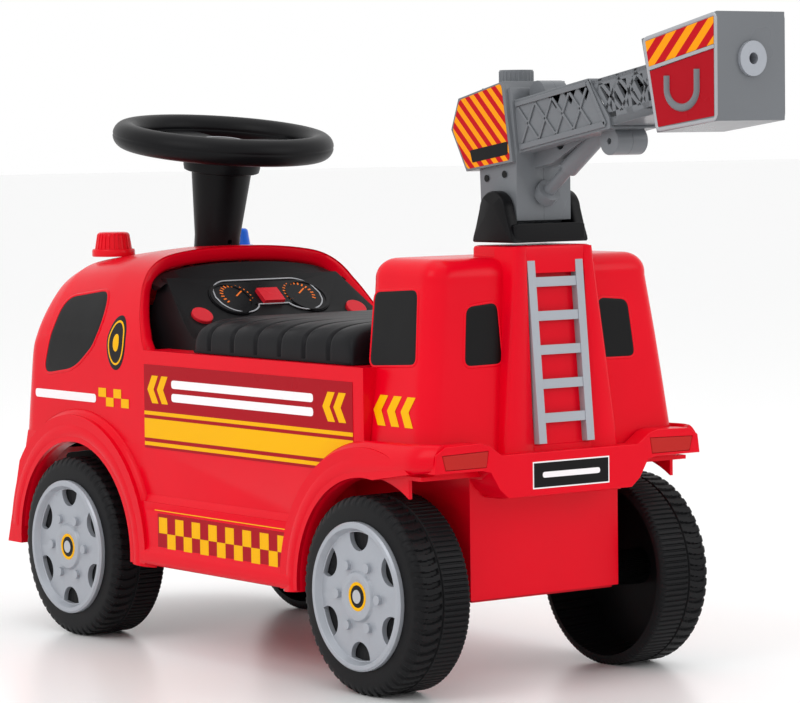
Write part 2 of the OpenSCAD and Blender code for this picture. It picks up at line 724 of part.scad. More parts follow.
tie_w = arm_w + arm_t + tie_gap;
module tie_bar() color("#202022") lean_frame() difference() {
    union() {
        block([-king_x, king_x], [-arm_len - 7, -arm_len + 7], [tie_w, tie_w + tie_t]);
        for (x = [-king_x, king_x]) translate([x, -arm_len, tie_w]) cylinder(r = 7, h = tie_t);
        block([-12, 12], [min(shaft_u - arm_len, -arm_len - 7), -arm_len], [tie_w, tie_w + tie_t]);
        translate([0, shaft_u - arm_len, tie_w]) cylinder(r = 8, h = tie_t);
    }
    for (p = [[-king_x, -arm_len], [king_x, -arm_len], [0, shaft_u - arm_len]])
        translate([p[0], p[1], 0]) cylinder(r = tie_pin_r + run_gap, h = 2 * wheel_r);
}

// steel shaft with the crank that drives the tie bar
module steering_shaft() color("#c9ccd0") lean_frame(shaft_u) {
    translate([0, 0, beam_low + 8]) cylinder(r = axle_r, h = column_top - beam_low - 30);
    translate([0, 0, arm_w]) cylinder(r = axle_r + 4, h = arm_t);
    block([-6, 6], [-arm_len, 0], [arm_w, arm_w + arm_t]);
    translate([0, -arm_len, arm_w]) cylinder(r = 6, h = arm_t);
    translate([0, -arm_len, arm_w + arm_t - over]) cylinder(r = tie_pin_r, h = over + tie_gap + tie_t + 2);
}

bush_w = roof_w - 34;                    // bush that carries the foot of the column
spigot_r = axle_r + 5;
module column_bush() color("#202022") difference() {
    intersection() {
        lean_frame(shaft_u) translate([0, 0, bush_w - 8]) {
            cylinder(r = spigot_r + 5, h = 8);
            cylinder(r = column_r + 10, h = 3);
            // posts screwed under the roof
            for (i = [0 : 3]) rotate(90 * i + 45) translate([column_r + 6, 0, 0]) cylinder(r = 3.5, h = 60);
        }
        cab_mass(wall);
    }
    lean_frame(shaft_u) cylinder(r = spigot_r + run_gap, h = 2 * hoop_z);
}

module steering_column() color("#1d1d1f") lean_frame(shaft_u) difference() {
    union() {
        translate([0, 0, bush_w - 12]) cylinder(r = spigot_r, h = 14);
        translate([0, 0, bush_w + 1]) cylinder(r = column_r, h = roof_w - bush_w + 12);
        translate([0, 0, roof_w + 12.5]) cylinder(r1 = column_r, r2 = column_r + 6, h = column_top - roof_w - 12.5, $fn = 64);
    }
    cylinder(r = axle_r + 0.02, h = column_top - 22);
    translate([0, 0, roof_w + 10]) rotate([90, 0, 0]) cylinder(r = 2.2, h = 2 * column_r, center = true);
}

rim_centre_r = (steer_d - rim_d) / 2;
hub_pad_r = 26;
module steering_wheel() color("#1d1d1f") lean_frame(shaft_u) translate([0, 0, rim_w]) {
    difference() {
        union() {
            rotate_extrude($fn = 96) translate([rim_centre_r, 0]) circle(r = rim_d / 2, $fn = 32);
            translate([0, 0, -26]) cylinder(r = column_r + 12, h = 12);
            translate([0, 0, -15]) cylinder(r = hub_pad_r + 10, h = 9);
            for (a = [0, 180, 270]) rotate(a)
                block([0, rim_centre_r], [-14, 14], [-9, -1]);
        }
        translate([0, 0, -6.4]) cylinder(r = hub_pad_r + 0.2, h = 20);
    }
}

module horn_pad() color("#2a2a2c") lean_frame(shaft_u) translate([0, 0, rim_w]) {
    translate([0, 0, -6.2]) cylinder(r = hub_pad_r, h = 5);
    translate([0, 0, -1.2]) cylinder(r = hub_pad_r - 8, h = 2);
}

module nose_bracket() color("#202022") {
    y0 = nose_y + nose_bow + 6;
    intersection() {
        block([-half_w + wall, half_w - wall], [y0, y0 + 12], [belt_z - 18, belt_z - 10]);
        nose_mass(half_w - wall, wall, panel_front);
    }
    both_sides() translate([half_w - 28, y0 + 6, belt_z - 32]) cylinder(r = 3, h = 14);
}

// ---------------------------------------------------------------- dashboard

// inset makes the hollow, and open carries it out through the front and the bottom
module dash_outline(inset = 0, open = 0) offset(delta = -inset) polygon([
    [dash_top_y - 8 - open, ledge_z - open], [dash_foot_y + 12, ledge_z - open],
    [dash_foot_y + 12, dash_foot_z - 2], [dash_foot_y, dash_foot_z], [dash_top_y, dash_top_z],
    [dash_top_y - 8 - open, dash_top_z]]);

module dash_section(inset = 0, open = 0) offset(delta = -inset) mirrored([
    [dash_half, ledge_z - open], [dash_half - 4, ledge_z + 24], [dash_half - 16, dash_top_z + over]]);

module dash_mass(inset = 0, open = 0) intersection() {
    across(half_w) dash_outline(inset, open);
    along(nose_y, 0) dash_section(inset, open);
}

module dash_holes(gap) {
    dash_frame(0, gauge_v) rise(-30, 10) square([20 + 2 * gap, 16 + 2 * gap], center = true);
    for (s = [-1, 1]) {
        dash_frame(s * horn_x, horn_v) rise(-30, 10) horn_outline(gap);
        dash_frame(s * round_x, round_v) translate([0, 0, -30]) cylinder(r = round_r + gap, h = 40);
    }
}

module horn_outline(gap = 0) {
    for (x = [-5, 5]) translate([x, 0]) circle(r = 5 + gap);
    square([10, 10 + 2 * gap], center = true);
}

module hinge_lugs(spans, away) difference() {
    for (s = spans) {
        rod_x(knuckle_r, s[0], s[1], hinge_y, hinge_z);
        block([s[0], s[1]], away > 0 ? [hinge_y, hinge_y + 12] : [hinge_y - 16, hinge_y],
            [hinge_z - knuckle_r, hinge_z]);
    }
    rod_x(hinge_d / 2 + run_gap, -half_w, half_w, hinge_y, hinge_z);
}
lug_half_x = dash_half - 10;

module dashboard() color("#1f1f21") {
    difference() {
        dash_mass();
        dash_mass(dash_t, 10);
        dash_holes(free_gap);
        dash_frame(0, gauge_v) rise(-1.6, 10) gauge_outline(0.3);
    }
    // lugs that carry the seat's hinge rod
    hinge_lugs([[-lug_half_x, -lug_half_x + 12], [-6, 6], [lug_half_x - 12, lug_half_x]], -1);
}

module gauge_outline(gap = 0) {
    for (s = [-1, 1]) translate([s * dial_x, 0]) circle(r = dial_r + gap);
    translate([-dial_x, -dial_r - gap]) square([2 * dial_x, 1.4 * dial_r + 2 * gap]);
}

module gauge_panel() color("#111113") difference() {
    dash_frame(0, gauge_v) union() {
        rise(-1.6, 1) gauge_outline();
        for (s = [-1, 1]) translate([s * dial_x, 0, 0.9]) difference() {
            cylinder(r = dial_r - 1, h = 0.8);
            cylinder(r = dial_r - 3, h = 2);
        }
    }
    dash_holes(free_gap);
}

// a button: cap through the dash, and a wider foot behind it that stops it coming out
module button(x, v, out) dash_frame(x, v) {
    rise(-dash_t - free_gap - 2, out) children();
    rise(-dash_t - free_gap - 2, -dash_t - free_gap) offset(delta = 2) children();
}

// rocks about the two stubs that hold it under the dash
module rocker_switch() color("#c31a24") dash_frame(0, gauge_v) {
    rise(-dash_t - free_gap - 2, 4.5) square([20, 16], center = true);
    translate([-12, 0, -dash_t - free_gap - 1.5]) rotate([0, 90, 0]) cylinder(r = 1.5, h = 24);
}
module horn_button(side) color("#c3242c") button(side * horn_x, horn_v, 3.5) horn_outline();
module round_button(side) color("#c3242c") button(side * round_x, round_v, 2.6) circle(r = round_r);

module sound_box() color("#26262a") difference() {
    block([-sound_half, sound_half], [sound_y, sound_y + sound_len], [sound_z, sound_top]);
    // open towards the battery door
    block([-sound_half + 2.5, sound_half - 2.5], [sound_y + 2.5, sound_y + sound_len + over],
        [sound_z + 2.5, sound_top - 2.5]);
}

module battery_door() color("#303036") block([-sound_half + 3, sound_half - 3],
    [sound_y + sound_len - 3, sound_y + sound_len - 0.5], [sound_z + 3, sound_top - 3]);

// speaker under the sound box, facing down
module speaker() color("#3a3a3e") translate([0, sound_y + sound_len / 2, sound_z - speaker_t]) {
    cylinder(r = speaker_r, h = 3);
    translate([0, 0, 3]) cylinder(r1 = speaker_r, r2 = speaker_r / 2, h = speaker_t - 3);
}

// ---------------------------------------------------------------- seat

module seat() color("#1c1c1e") difference() {
    union() {
        intersection() {
            across(seat_half) polygon([
                [seat_front, ledge_z + 0.5], [seat_front, ledge_z + seat_t - 8], [seat_front + 8, ledge_z + seat_t],
                [seat_rear - 60, ledge_z + seat_t + 1], [seat_rear, ledge_z + seat_t + 4], [seat_rear, ledge_z + 0.5]]);
            along(nose_y, 0) polygon([
                [-seat_half, ledge_z], [-seat_half, ledge_z + seat_t - 11], [-seat_half + 4, ledge_z + seat_t - 4],
                [-seat_half + 14, ledge_z + seat_t + 1], [-40, ledge_z + seat_t + 5], [40, ledge_z + seat_t + 5],
                [seat_half - 14, ledge_z + seat_t + 1], [seat_half - 4, ledge_z + seat_t - 4],
                [seat_half, ledge_z + seat_t - 11], [seat_half, ledge_z]]);
        }
        // locating rim inside the storage opening
        block([-bin_half + 6, bin_half - 6], [bin_front + 6, bin_rear - 6], [ledge_z - 6, ledge_z + 1]);
        hinge_lugs([[-54, -14], [14, 54]], 1);
    }
    // hollow underside
    block([-bin_half + 9, bin_half - 9], [bin_front + 9, bin_rear - 9], [ledge_z - 7, ledge_z + seat_t - 4]);
    rod_x(hinge_d / 2 + run_gap, -half_w, half_w, hinge_y, hinge_z);
    // room for the dashboard's lugs
    for (x = [-lug_half_x + 6, 0, lug_half_x - 6])
        rod_x(knuckle_r + 1, x - 7, x + 7, hinge_y, hinge_z);
}

module seat_hinge_rod() color("#c9ccd0") rod_x(hinge_d / 2, -lug_half_x - 2, lug_half_x + 2, hinge_y, hinge_z);

module storage_bin() color("#2b2b2e") difference() {
    union() {
        block([-bin_half, bin_half], [bin_front, bin_rear], [ledge_z - bin_depth, ledge_z - wall]);
        // flange under the ledge
        block([-bin_half - 7, bin_half + 7], [bin_front - 6, bin_rear + 6],
            [ledge_z - wall - bin_wall, ledge_z - wall]);
    }
    block([-bin_half + bin_wall, bin_half - bin_wall], [bin_front + bin_wall, bin_rear - bin_wall],
        [ledge_z - bin_depth + bin_wall, ledge_z + over]);
}

// ---------------------------------------------------------------- crane

module turret_dome() color("#161618") difference() {
    translate([0, turret_y, 0]) union() {
        block([-turret_half, turret_half], [-turret_depth / 2, turret_depth / 2], [turret_z, turret_z + 6]);
        // side lobes that carry the lift pin
        both_sides() {
            block([mast_half + free_gap, turret_half], [-turret_depth / 2 + 3, turret_depth / 2 - 3],
                [turret_z, turret_z + 12]);
            rod_x(lobe_r, mast_half + free_gap, turret_half, 0, lift_z);
        }
        // low rear wall
        block([-turret_half, turret_half], [turret_depth / 2 - 4, turret_depth / 2], [turret_z, lift_z - 6]);
        // post that turns in the plinth
        translate([0, 0, ring_top]) cylinder(r = post_r, h = turret_z - ring_top + over);
    }
    rod_x(lift_pin_d / 2 + 0.02, -turret_half - over, turret_half + over, turret_y, lift_z);
    translate([0, turret_y, 0]) cylinder(r = 3, h = turret_z + 3);
}

module turret_ring() color("#2a2a2c") translate([0, turret_y, 0]) difference() {
    union() {
        translate([0, 0, ring_top - 5]) cylinder(r = post_r + 6, h = 5);
        translate([0, 0, ring_top - 8]) cylinder(r = 6, h = 4);
    }
    cylinder(r = 3, h = plinth_z);
}

module lift_pin() color("#c9ccd0") rod_x(lift_pin_d / 2, -turret_half + 2, turret_half - 2, turret_y, lift_z);

// outlines of the crane's body in (y, z)
module mast_2d() polygon([
    [mast_front, mast_low], [mast_rear, mast_low], [mast_rear, root_z - 18], [mast_rear - 6, head_z],
    [mast_front + 2, head_z], [mast_front - 2, root_z - 20]]);

module weight_2d() polygon([
    [mast_front - 22, root_z + 21], [mast_rear - 10, root_z + 33], [mast_rear, root_z - 26],
    [mast_front - 13, root_z - 33], [mast_front - 31, root_z - 2]]);

module boom_2d(h, y0, y1) translate([root_y, root_z]) rotate(boom_angle)
    polygon([[y0, -h / 2], [y1 + 12, -h / 2], [y1 + 12, -h / 2 + 8], [y1 - 6, h / 2], [y0, h / 2]]);

module web_2d() difference() {
    polygon([[mast_rear - 2, root_z - 31], [mast_rear - 2, root_z], [root_y + 72, root_z + 4],
        [root_y + 58, root_z - 10], [root_y + 22, root_z - 27]]);
    translate([root_y + 31, root_z - 12.6]) circle(r = 4.6);
}

module crane_mass(inset = 0) {
    across(mast_half - inset) offset(delta = -inset) mast_2d();
    across(weight_half - inset) offset(delta = -inset) weight_2d();
    if (inset == 0) {
        across(boom_half) boom_2d(boom_h, -8, boom_len);
        across(9) web_2d();
    }
}

module lug_place() boom_frame() translate([0, boom_len - 1, -boom_h / 2 - lug_r + 3]) children();

module crane_body() difference() {
    union() {
        crane_mass();
        lug_place() rotate([0, 90, 0]) cylinder(r = lug_r, h = 2 * lug_half, center = true);
        // boss round the lift pin
        rod_x(lift_pin_d / 2 + 4, -mast_half, mast_half, turret_y, lift_z);
        // hook lug above the boom's root
        across(11) translate([mast_rear + 7, head_z - 4]) circle(r = 9);
        // neck of the filler
        translate([0, cap_y, head_z - 4]) cylinder(r = cap_r - 2, h = 8);
    }
    difference() {
        crane_mass(wall);
        rod_x(lift_pin_d / 2 + 4, -mast_half, mast_half, turret_y, lift_z);
    }
    // hollow of the boxed section, open at the far end
    boom_frame() block([-boom_half + sleeve_t, boom_half - sleeve_t], [2, boom_len + 20],
        [-boom_h / 2 + sleeve_t, boom_h / 2 - sleeve_t]);
    rod_x(lift_pin_d / 2 + run_gap, -mast_half - over, mast_half + over, turret_y, lift_z);
    lug_place() rotate([0, 90, 0]) cylinder(r = 2.2, h = 4 * lug_half, center = true);
    // filler hole
    translate([0, cap_y, head_z - 6]) cylinder(r = cap_r - 5, h = 12);
    // openings near the end of the boom
    boom_frame() across(boom_half + over) for (i = [0 : 2])
        polygon([[boom_len - 52 + 17 * i, boom_h / 2 - 5], [boom_len - 38 + 17 * i, boom_h / 2 - 5],
            [boom_len - 45 + 17 * i, boom_h / 2 - 15]]);
}

module crane_half(side) color("#6f7276") intersection() {
    crane_body();
    translate([side > 0 ? 0 : -2 * weight_half, mast_front - 60, lift_z - 60])
        cube([2 * weight_half, boom_len + 200, 260]);
}

strut_y = mast_rear;
strut_z = lift_z + 13.5;
strut_angle = 35;
module strut() color("#8d8a8f") difference() {
    translate([0, strut_y, strut_z]) rotate([strut_angle, 0, 0]) rotate([-90, 0, 0]) {
        cylinder(r = 9, h = 8);
        cylinder(r = 4.5, h = 40);
        translate([0, 0, 36]) cylinder(r = 7, h = 50);
    }
    crane_mass();
    lug_place() rotate([0, 90, 0]) cylinder(r = lug_r, h = 2 * lug_half, center = true);
    boom_frame() block([-boom_w, boom_w], [-20, boom_len + 30], [-boom_h / 2, boom_h]);
}

// open lattice plugged into the boxed section
module boom_inner() color("#7c7f83") boom_frame() difference() {
    block([-inner_half, inner_half], [inner_start, inner_end], [-inner_h / 2, inner_h / 2]);
    block([-inner_half + 3, inner_half - 3], [inner_start - over, inner_end - 4], [-inner_h / 2 + 4, inner_h / 2 - 4]);
    bays = 5;
    pitch = (inner_end - inner_start - 8) / bays;
    across(inner_half + over) for (i = [0 : bays - 1]) translate([inner_start + 4 + i * pitch, 0]) {
        polygon([[2, -inner_h / 2 + 6], [pitch - 4, -inner_h / 2 + 6], [2, inner_h / 2 - 9]]);
        polygon([[pitch - 1.5, -inner_h / 2 + 9], [pitch - 1.5, inner_h / 2 - 5], [5, inner_h / 2 - 5]]);
    }
}

module bucket_2d(inset = 0) offset(delta = -inset) polygon([
    [bucket_y - 2, bucket_z + bucket_root_top], [end_y, end_top], [end_y, end_top - bucket_h],
    [bucket_y - 2 + bucket_h * tan(bucket_lean), bucket_z + bucket_root_top - bucket_root_h]]);

module bucket() color("#6f7276") difference() {
    across(bucket_half) bucket_2d();
    across(bucket_half - wall) difference() {
        bucket_2d(wall);
        // thicker end round the nozzle
        translate([end_y - 8, 0]) square([20, 2 * end_top]);
    }
    both_sides() across(1, bucket_half) bucket_2d(4);
    translate([0, end_y + over, nozzle_z]) rotate([90, 0, 0]) cylinder(r = nozzle_d / 2 - 2, h = 12);
    boom_frame() block([-inner_half - fit_gap, inner_half + fit_gap], [0, inner_end + fit_gap],
        [-inner_h / 2 - fit_gap, inner_h / 2 + fit_gap]);
}

module nozzle() color("#b9bcc0") translate([0, tip_y, nozzle_z]) rotate([90, 0, 0]) difference() {
    union() {
        cylinder(r = nozzle_d / 2, h = nozzle_out);
        cylinder(r = nozzle_d / 2 - 2, h = nozzle_out + 7);
    }
    translate([0, 0, -over]) cylinder(r = 4, h = nozzle_out + 20);
}

module filler_cap() color("#8e9195") translate([0, cap_y, head_z + 4.4]) {
    cylinder(r = cap_r, h = 9);
    for (i = [0 : 23]) rotate(15 * i) translate([cap_r - 0.4, 0, 0]) cylinder(r = 0.9, h = 8, $fn = 16);
}

place() body_shell();
place() cab();
place() rear_cabin();
place() rear_bumper();
place() chassis_tray();
place() windscreen();
place() cab_windows();
place() cabin_windows();
place() grille();
place() headlights();
place() tail_lights();
place() ladder();
place() beacon_red();
place() beacon_blue();
place() dashboard();
place() gauge_panel();
place() sound_box();
place() speaker();
place() battery_door();
place() storage_bin();
place() rear_axle();
place() rear_nuts();
place() rear_spacers();
place() front_beam();
place() nose_bracket();
place() column_bush();
place() seat_hinge_rod();
place() seat();
place() tyre(1, front_y);  // tyre_front_left
place() tyre(-1, front_y);  // tyre_front_right
place() tyre(1, 0);  // tyre_rear_left
place() tyre(-1, 0);  // tyre_rear_right
place() cover(1, front_y);  // cover_front_left
place() cover(-1, front_y);  // cover_front_right
place() cover(1, 0);  // cover_rear_left
place() cover(-1, 0);  // cover_rear_right
place() steering_wheel();
place() horn_pad();
place() steering_column();
place() steering_shaft();
place() steering_arm(1);  // steering_arm_left
place() steering_arm(-1);  // steering_arm_right
place() stub_axle(1);  // stub_axle_left
place() stub_axle(-1);  // stub_axle_right
place() tie_bar();
place() turret_dome();
place() turret_ring();
place() lift_pin();
place() crane_half(1);  // crane_half_left
place() crane_half(-1);  // crane_half_right
place() strut();
place() boom_inner();
place() bucket();
place() nozzle();
place() filler_cap();
place() rocker_switch();
place() horn_button(1);  // horn_button_left
place() horn_button(-1);  // horn_button_right
place() round_button(1);  // round_button_left
place() round_button(-1);  // round_button_right
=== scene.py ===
import json
import math
import bmesh
import bpy
import numpy as np
from mathutils import Matrix, Vector

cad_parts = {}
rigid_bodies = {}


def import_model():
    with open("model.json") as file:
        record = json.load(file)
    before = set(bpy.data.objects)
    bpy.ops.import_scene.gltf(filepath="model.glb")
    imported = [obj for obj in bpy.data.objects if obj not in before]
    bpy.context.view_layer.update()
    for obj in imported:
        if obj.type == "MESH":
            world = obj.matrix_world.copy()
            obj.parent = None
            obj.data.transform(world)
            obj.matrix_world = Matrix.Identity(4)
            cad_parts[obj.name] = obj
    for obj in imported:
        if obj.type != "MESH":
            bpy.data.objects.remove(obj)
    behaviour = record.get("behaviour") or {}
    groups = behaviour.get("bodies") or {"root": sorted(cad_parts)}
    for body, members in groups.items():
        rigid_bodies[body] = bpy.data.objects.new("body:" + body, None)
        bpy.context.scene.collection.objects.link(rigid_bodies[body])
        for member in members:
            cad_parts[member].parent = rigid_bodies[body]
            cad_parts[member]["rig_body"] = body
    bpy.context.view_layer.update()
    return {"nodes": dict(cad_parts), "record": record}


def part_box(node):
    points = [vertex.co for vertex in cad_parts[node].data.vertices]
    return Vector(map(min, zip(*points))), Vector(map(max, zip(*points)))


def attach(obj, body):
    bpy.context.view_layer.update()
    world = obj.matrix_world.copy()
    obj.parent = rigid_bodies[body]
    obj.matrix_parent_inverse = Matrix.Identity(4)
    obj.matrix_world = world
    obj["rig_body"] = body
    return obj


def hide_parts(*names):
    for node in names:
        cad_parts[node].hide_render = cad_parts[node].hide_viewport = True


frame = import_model()
nodes = frame["nodes"]
print("frame loaded:", len(nodes), "nodes")

# Lengths below are in millimetres from the rear axle line: +x rider's left, -y the nose, +z up.
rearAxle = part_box("rear_axle")
axleY = (rearAxle[0].y + rearAxle[1].y) * 500
axleZ = (rearAxle[0].z + rearAxle[1].z) * 500


# small tools

def linear(hexColour):
    # sRGB hex to the linear colour that shaders read
    values = [int(hexColour[i:i + 2], 16) / 255 for i in (1, 3, 5)]
    return tuple(v / 12.92 if v < 0.04045 else ((v + 0.055) / 1.055) ** 2.4 for v in values) + (1.0,)


def points(x, y, z):
    # arrays in millimetres to one array of places in metres
    x, y, z = np.broadcast_arrays(np.asarray(x, float), np.asarray(y, float), np.asarray(z, float))
    return np.stack([x, y + axleY, z], -1) / 1000


def smoothLine(corners, count):
    # Catmull-Rom curve through the corners, at even steps of the corner number
    p = np.asarray(corners, float)
    p = np.vstack([2 * p[:1] - p[1:2], p, 2 * p[-1:] - p[-2:-1]])
    t = np.linspace(0, len(p) - 3 - 1e-9, count)
    i = t.astype(int)
    f = (t - i)[:, None]
    a, b, c, d = p[i], p[i + 1], p[i + 2], p[i + 3]
    return b + 0.5 * f * (c - a + f * (2 * a - 5 * b + 4 * c - d + f * (3 * (b - c) + d - a)))


def roundedCorners(corners, radius, steps=5):
    # closed outline: each corner becomes a short quadratic curve that starts and ends one radius away
    p = np.asarray(corners, float)
    before, after = np.roll(p, 1, 0) - p, np.roll(p, -1, 0) - p
    longA = np.linalg.norm(before, axis=1, keepdims=True)
    longB = np.linalg.norm(after, axis=1, keepdims=True)
    cut = np.minimum(np.reshape(radius, (-1, 1)) * np.ones((len(p), 1)), 0.48 * np.minimum(longA, longB))
    a, b = p + before / longA * cut, p + after / longB * cut
    s = np.linspace(0, 1, steps)[None, :, None]
    return ((1 - s) ** 2 * a[:, None] + 2 * s * (1 - s) * p[:, None] + s ** 2 * b[:, None]).reshape(-1, 2)


def gridFaces(rows, cols, closedRows=False, closedCols=False):
    # quads between the neighbours of a rows by cols grid
    i = np.arange(rows if closedRows else rows - 1)[:, None]
    j = np.arange(cols if closedCols else cols - 1)[None, :]
    i2, j2 = (i + 1) % rows, (j + 1) % cols
    quad = np.broadcast_arrays(i * cols + j, i * cols + j2, i2 * cols + j2, i2 * cols + j)
    return np.stack(quad, -1).reshape(-1, 4)


def buildPiece(name, parts, material, body, replaces=(), angle=40, mirrorX=False, bevel=0, bevelSteps=2):
    # parts is a list of (places, faces): they are joined, merged and turned to face outward
    verts, faces, start = [], [], 0
    for place, face in parts:
        place = np.asarray(place, float).reshape(-1, 3)
        for flip in ((1, -1) if mirrorX else (1,)):
            verts.append(place * np.array([flip, 1, 1]))
            faces += [[start + int(k) for k in f] for f in face]
            start += len(place)
    mesh = bpy.data.meshes.new(name)
    mesh.from_pydata(np.vstack(verts).tolist(), [], faces)
    bm = bmesh.new()
    bm.from_mesh(mesh)
    bmesh.ops.remove_doubles(bm, verts=bm.verts, dist=2e-5)
    bmesh.ops.dissolve_degenerate(bm, edges=bm.edges, dist=1e-5)
    bmesh.ops.recalc_face_normals(bm, faces=bm.faces)
    bm.to_mesh(mesh)
    bm.free()
    return finishPiece(name, mesh, material, body, replaces, angle, bevel, bevelSteps)


def finishPiece(name, mesh, material, body, replaces=(), angle=40, bevel=0, bevelSteps=2):
    piece = bpy.data.objects.new(name, mesh)
    bpy.context.scene.collection.objects.link(piece)
    mesh.materials.clear()
    mesh.materials.append(material)
    if bevel:
        soft = piece.modifiers.new("edge", "BEVEL")
        soft.width = bevel / 1000
        soft.segments = bevelSteps
        soft.limit_method = "ANGLE"
        soft.angle_limit = math.radians(35)
        soft.use_clamp_overlap = True
    mesh.shade_smooth()
    mesh.set_sharp_from_angle(angle=math.radians(angle))
    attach(piece, body)
    if replaces:
        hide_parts(*replaces)
    return piece


def softened(node, material, width, steps=3):
    # the CAD shape with its doubles merged, its flat faces joined and its edges rounded
    mesh = nodes[node].data.copy()
    bm = bmesh.new()
    bm.from_mesh(mesh)
    bmesh.ops.remove_doubles(bm, verts=bm.verts, dist=1e-5)
    bmesh.ops.dissolve_limit(bm, angle_limit=math.radians(1.0), verts=bm.verts, edges=bm.edges)
    bmesh.ops.recalc_face_normals(bm, faces=bm.faces)
    bm.to_mesh(mesh)
    bm.free()
    return finishPiece(node + "_soft", mesh, material, nodes[node]["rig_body"], (node,), 40, width, steps)


def sweptBand(profile, y0, z0, angles):
    # profile of (x, radius) points carried round the centre (y0, z0) through the angles
    profile = np.asarray(profile, float)
    a = np.radians(angles)[:, None]
    x, r = profile[None, :, 0], profile[None, :, 1]
    return points(x + 0 * a, y0 + r * np.cos(a), z0 + r * np.sin(a))


def plateOn(outline, place, depth):
    # flat outline (n x 2) made solid: place(u, v, h) gives the spot at height h above the surface
    u, v = np.asarray(outline, float).T
    grid = np.stack([place(u, v, depth), place(u, v, 0 * u)])
    n = len(u)
    faces = [f.tolist() for f in gridFaces(2, n, False, True)]
    return grid, faces + [list(range(n)), list(range(2 * n - 1, n - 1, -1))]


# materials

def newMaterial(name):
    material = bpy.data.materials.new(name)
    material.use_nodes = True
    return material, material.node_tree, material.node_tree.nodes["Principled BSDF"]


def addNode(tree, kind, settings=None, links=None):
    # a node with its settings, its input values and its links
    node = tree.nodes.new(kind)
    for key, value in (settings or {}).items():
        if hasattr(node, key) and key not in node.inputs:
            setattr(node, key, value)
        else:
            node.inputs[key].default_value = value
    for key, source in (links or {}).items():
        tree.links.new(source, node.inputs[key])
    return node


def mouldedPlastic(name, colour, roughness=0.3, shade=0.06, grain=0.12, grainSize=0.9, wave=0.25, sheen=0.12,
    coat=0.0, metal=0.0):
    # Injection-moulded or blow-moulded polypropylene: even colour with faint flow shading,
    # a slow ripple in the gloss, and a fine moulding grain in the bump.
    material, tree, shader = newMaterial(name)
    shader.inputs["Specular IOR Level"].default_value = sheen
    shader.inputs["Metallic"].default_value = metal
    shader.inputs["Coat Weight"].default_value = coat
    shader.inputs["Coat Roughness"].default_value = 0.12
    place = addNode(tree, "ShaderNodeTexCoord")
    flow = addNode(tree, "ShaderNodeTexNoise", {"Scale": 14.0, "Detail": 3.0, "Roughness": 0.5},
        {"Vector": place.outputs["Object"]})
    base = linear(colour)
    low = tuple(max(0.0, c * (1 - shade)) for c in base[:3]) + (1.0,)
    high = tuple(min(1.0, c * (1 + shade) + shade * 0.01) for c in base[:3]) + (1.0,)
    tint = addNode(tree, "ShaderNodeMix", {"data_type": "RGBA"})
    tint.inputs[6].default_value, tint.inputs[7].default_value = low, high
    tree.links.new(flow.outputs["Fac"], tint.inputs[0])
    tree.links.new(tint.outputs[2], shader.inputs["Base Color"])
    gloss = addNode(tree, "ShaderNodeMapRange",
        {"From Min": 0.3, "From Max": 0.7, "To Min": roughness * 0.88, "To Max": roughness * 1.14},
        {"Value": flow.outputs["Fac"]})
    tree.links.new(gloss.outputs["Result"], shader.inputs["Roughness"])
    fine = addNode(tree, "ShaderNodeTexNoise", {"Scale": 1000 / grainSize, "Detail": 2.0},
        {"Vector": place.outputs["Object"]})
    slow = addNode(tree, "ShaderNodeTexNoise", {"Scale": 45.0, "Detail": 1.0}, {"Vector": place.outputs["Object"]})
    ripple = addNode(tree, "ShaderNodeBump", {"Strength": wave, "Distance": 0.0006}, {"Height": slow.outputs["Fac"]})
    skin = addNode(tree, "ShaderNodeBump", {"Strength": grain, "Distance": 0.0002},
        {"Height": fine.outputs["Fac"], "Normal": ripple.outputs["Normal"]})
    tree.links.new(skin.outputs["Normal"], shader.inputs["Normal"])
    return material


redPlastic = mouldedPlastic("glossyRedPolypropylene", "#dc001c", 0.24)
trayRed = mouldedPlastic("dullRedPolypropylene", "#c30a20", 0.42, grain=0.25)
blackPlastic = mouldedPlastic("satinBlackPolypropylene", "#0d0d0f", 0.4, shade=0.2, grain=0.3, grainSize=0.7)
tyrePlastic = mouldedPlastic("mattBlackTyrePlastic", "#101012", 0.46, shade=0.25, grain=0.4, grainSize=1.2)
padPlastic = mouldedPlastic("grainedBlackSeatPlastic", "#101013", 0.44, shade=0.2, grain=0.6, grainSize=1.1)
windowPlastic = mouldedPlastic("blackWindowPlastic", "#030304", 0.34, shade=0.2, grain=0.2, sheen=0.15)
greyPlastic = mouldedPlastic("greyCranePlastic", "#6d7074", 0.3, shade=0.07, sheen=0.25)
silverPlastic = mouldedPlastic("silverPaintedPlastic", "#a3a7ae", 0.34, shade=0.05, metal=0.3)
steel = mouldedPlastic("zincPlatedSteel", "#b9bbbf", 0.3, shade=0.1, grain=0.2, metal=1.0)
lampRed = mouldedPlastic("dullRedLampPlastic", "#b5241f", 0.3)
beaconRed = mouldedPlastic("redBeaconPlastic", "#dd1122", 0.2)
beaconBlue = mouldedPlastic("blueBeaconPlastic", "#0f62d6", 0.15)
clearLens = mouldedPlastic("clearLampPlastic", "#dfe6ea", 0.12)
buttonRed = mouldedPlastic("redButtonPlastic", "#c6202c", 0.26)
gaugePrint = mouldedPlastic("printedGaugePlastic", "#101012", 0.25)


def printedSticker(name, colour):
    # Gloss vinyl film, one ink: flat even colour, slight ripple from the film.
    return mouldedPlastic(name, colour, 0.3, shade=0.03, grain=0.05, wave=0.12, sheen=0.08)


stickerRed = printedSticker("redVinylSticker", "#a30618")
yellowSticker = printedSticker("yellowVinylSticker", "#efb000")
whiteSticker = printedSticker("whiteVinylSticker", "#f2eef0")
orangePrint = printedSticker("orangePrintedInk", "#e8742a")
silverGrey = mouldedPlastic("silverGreyMouldedRim", "#a5a7ab", 0.3, shade=0.05, metal=0.3)


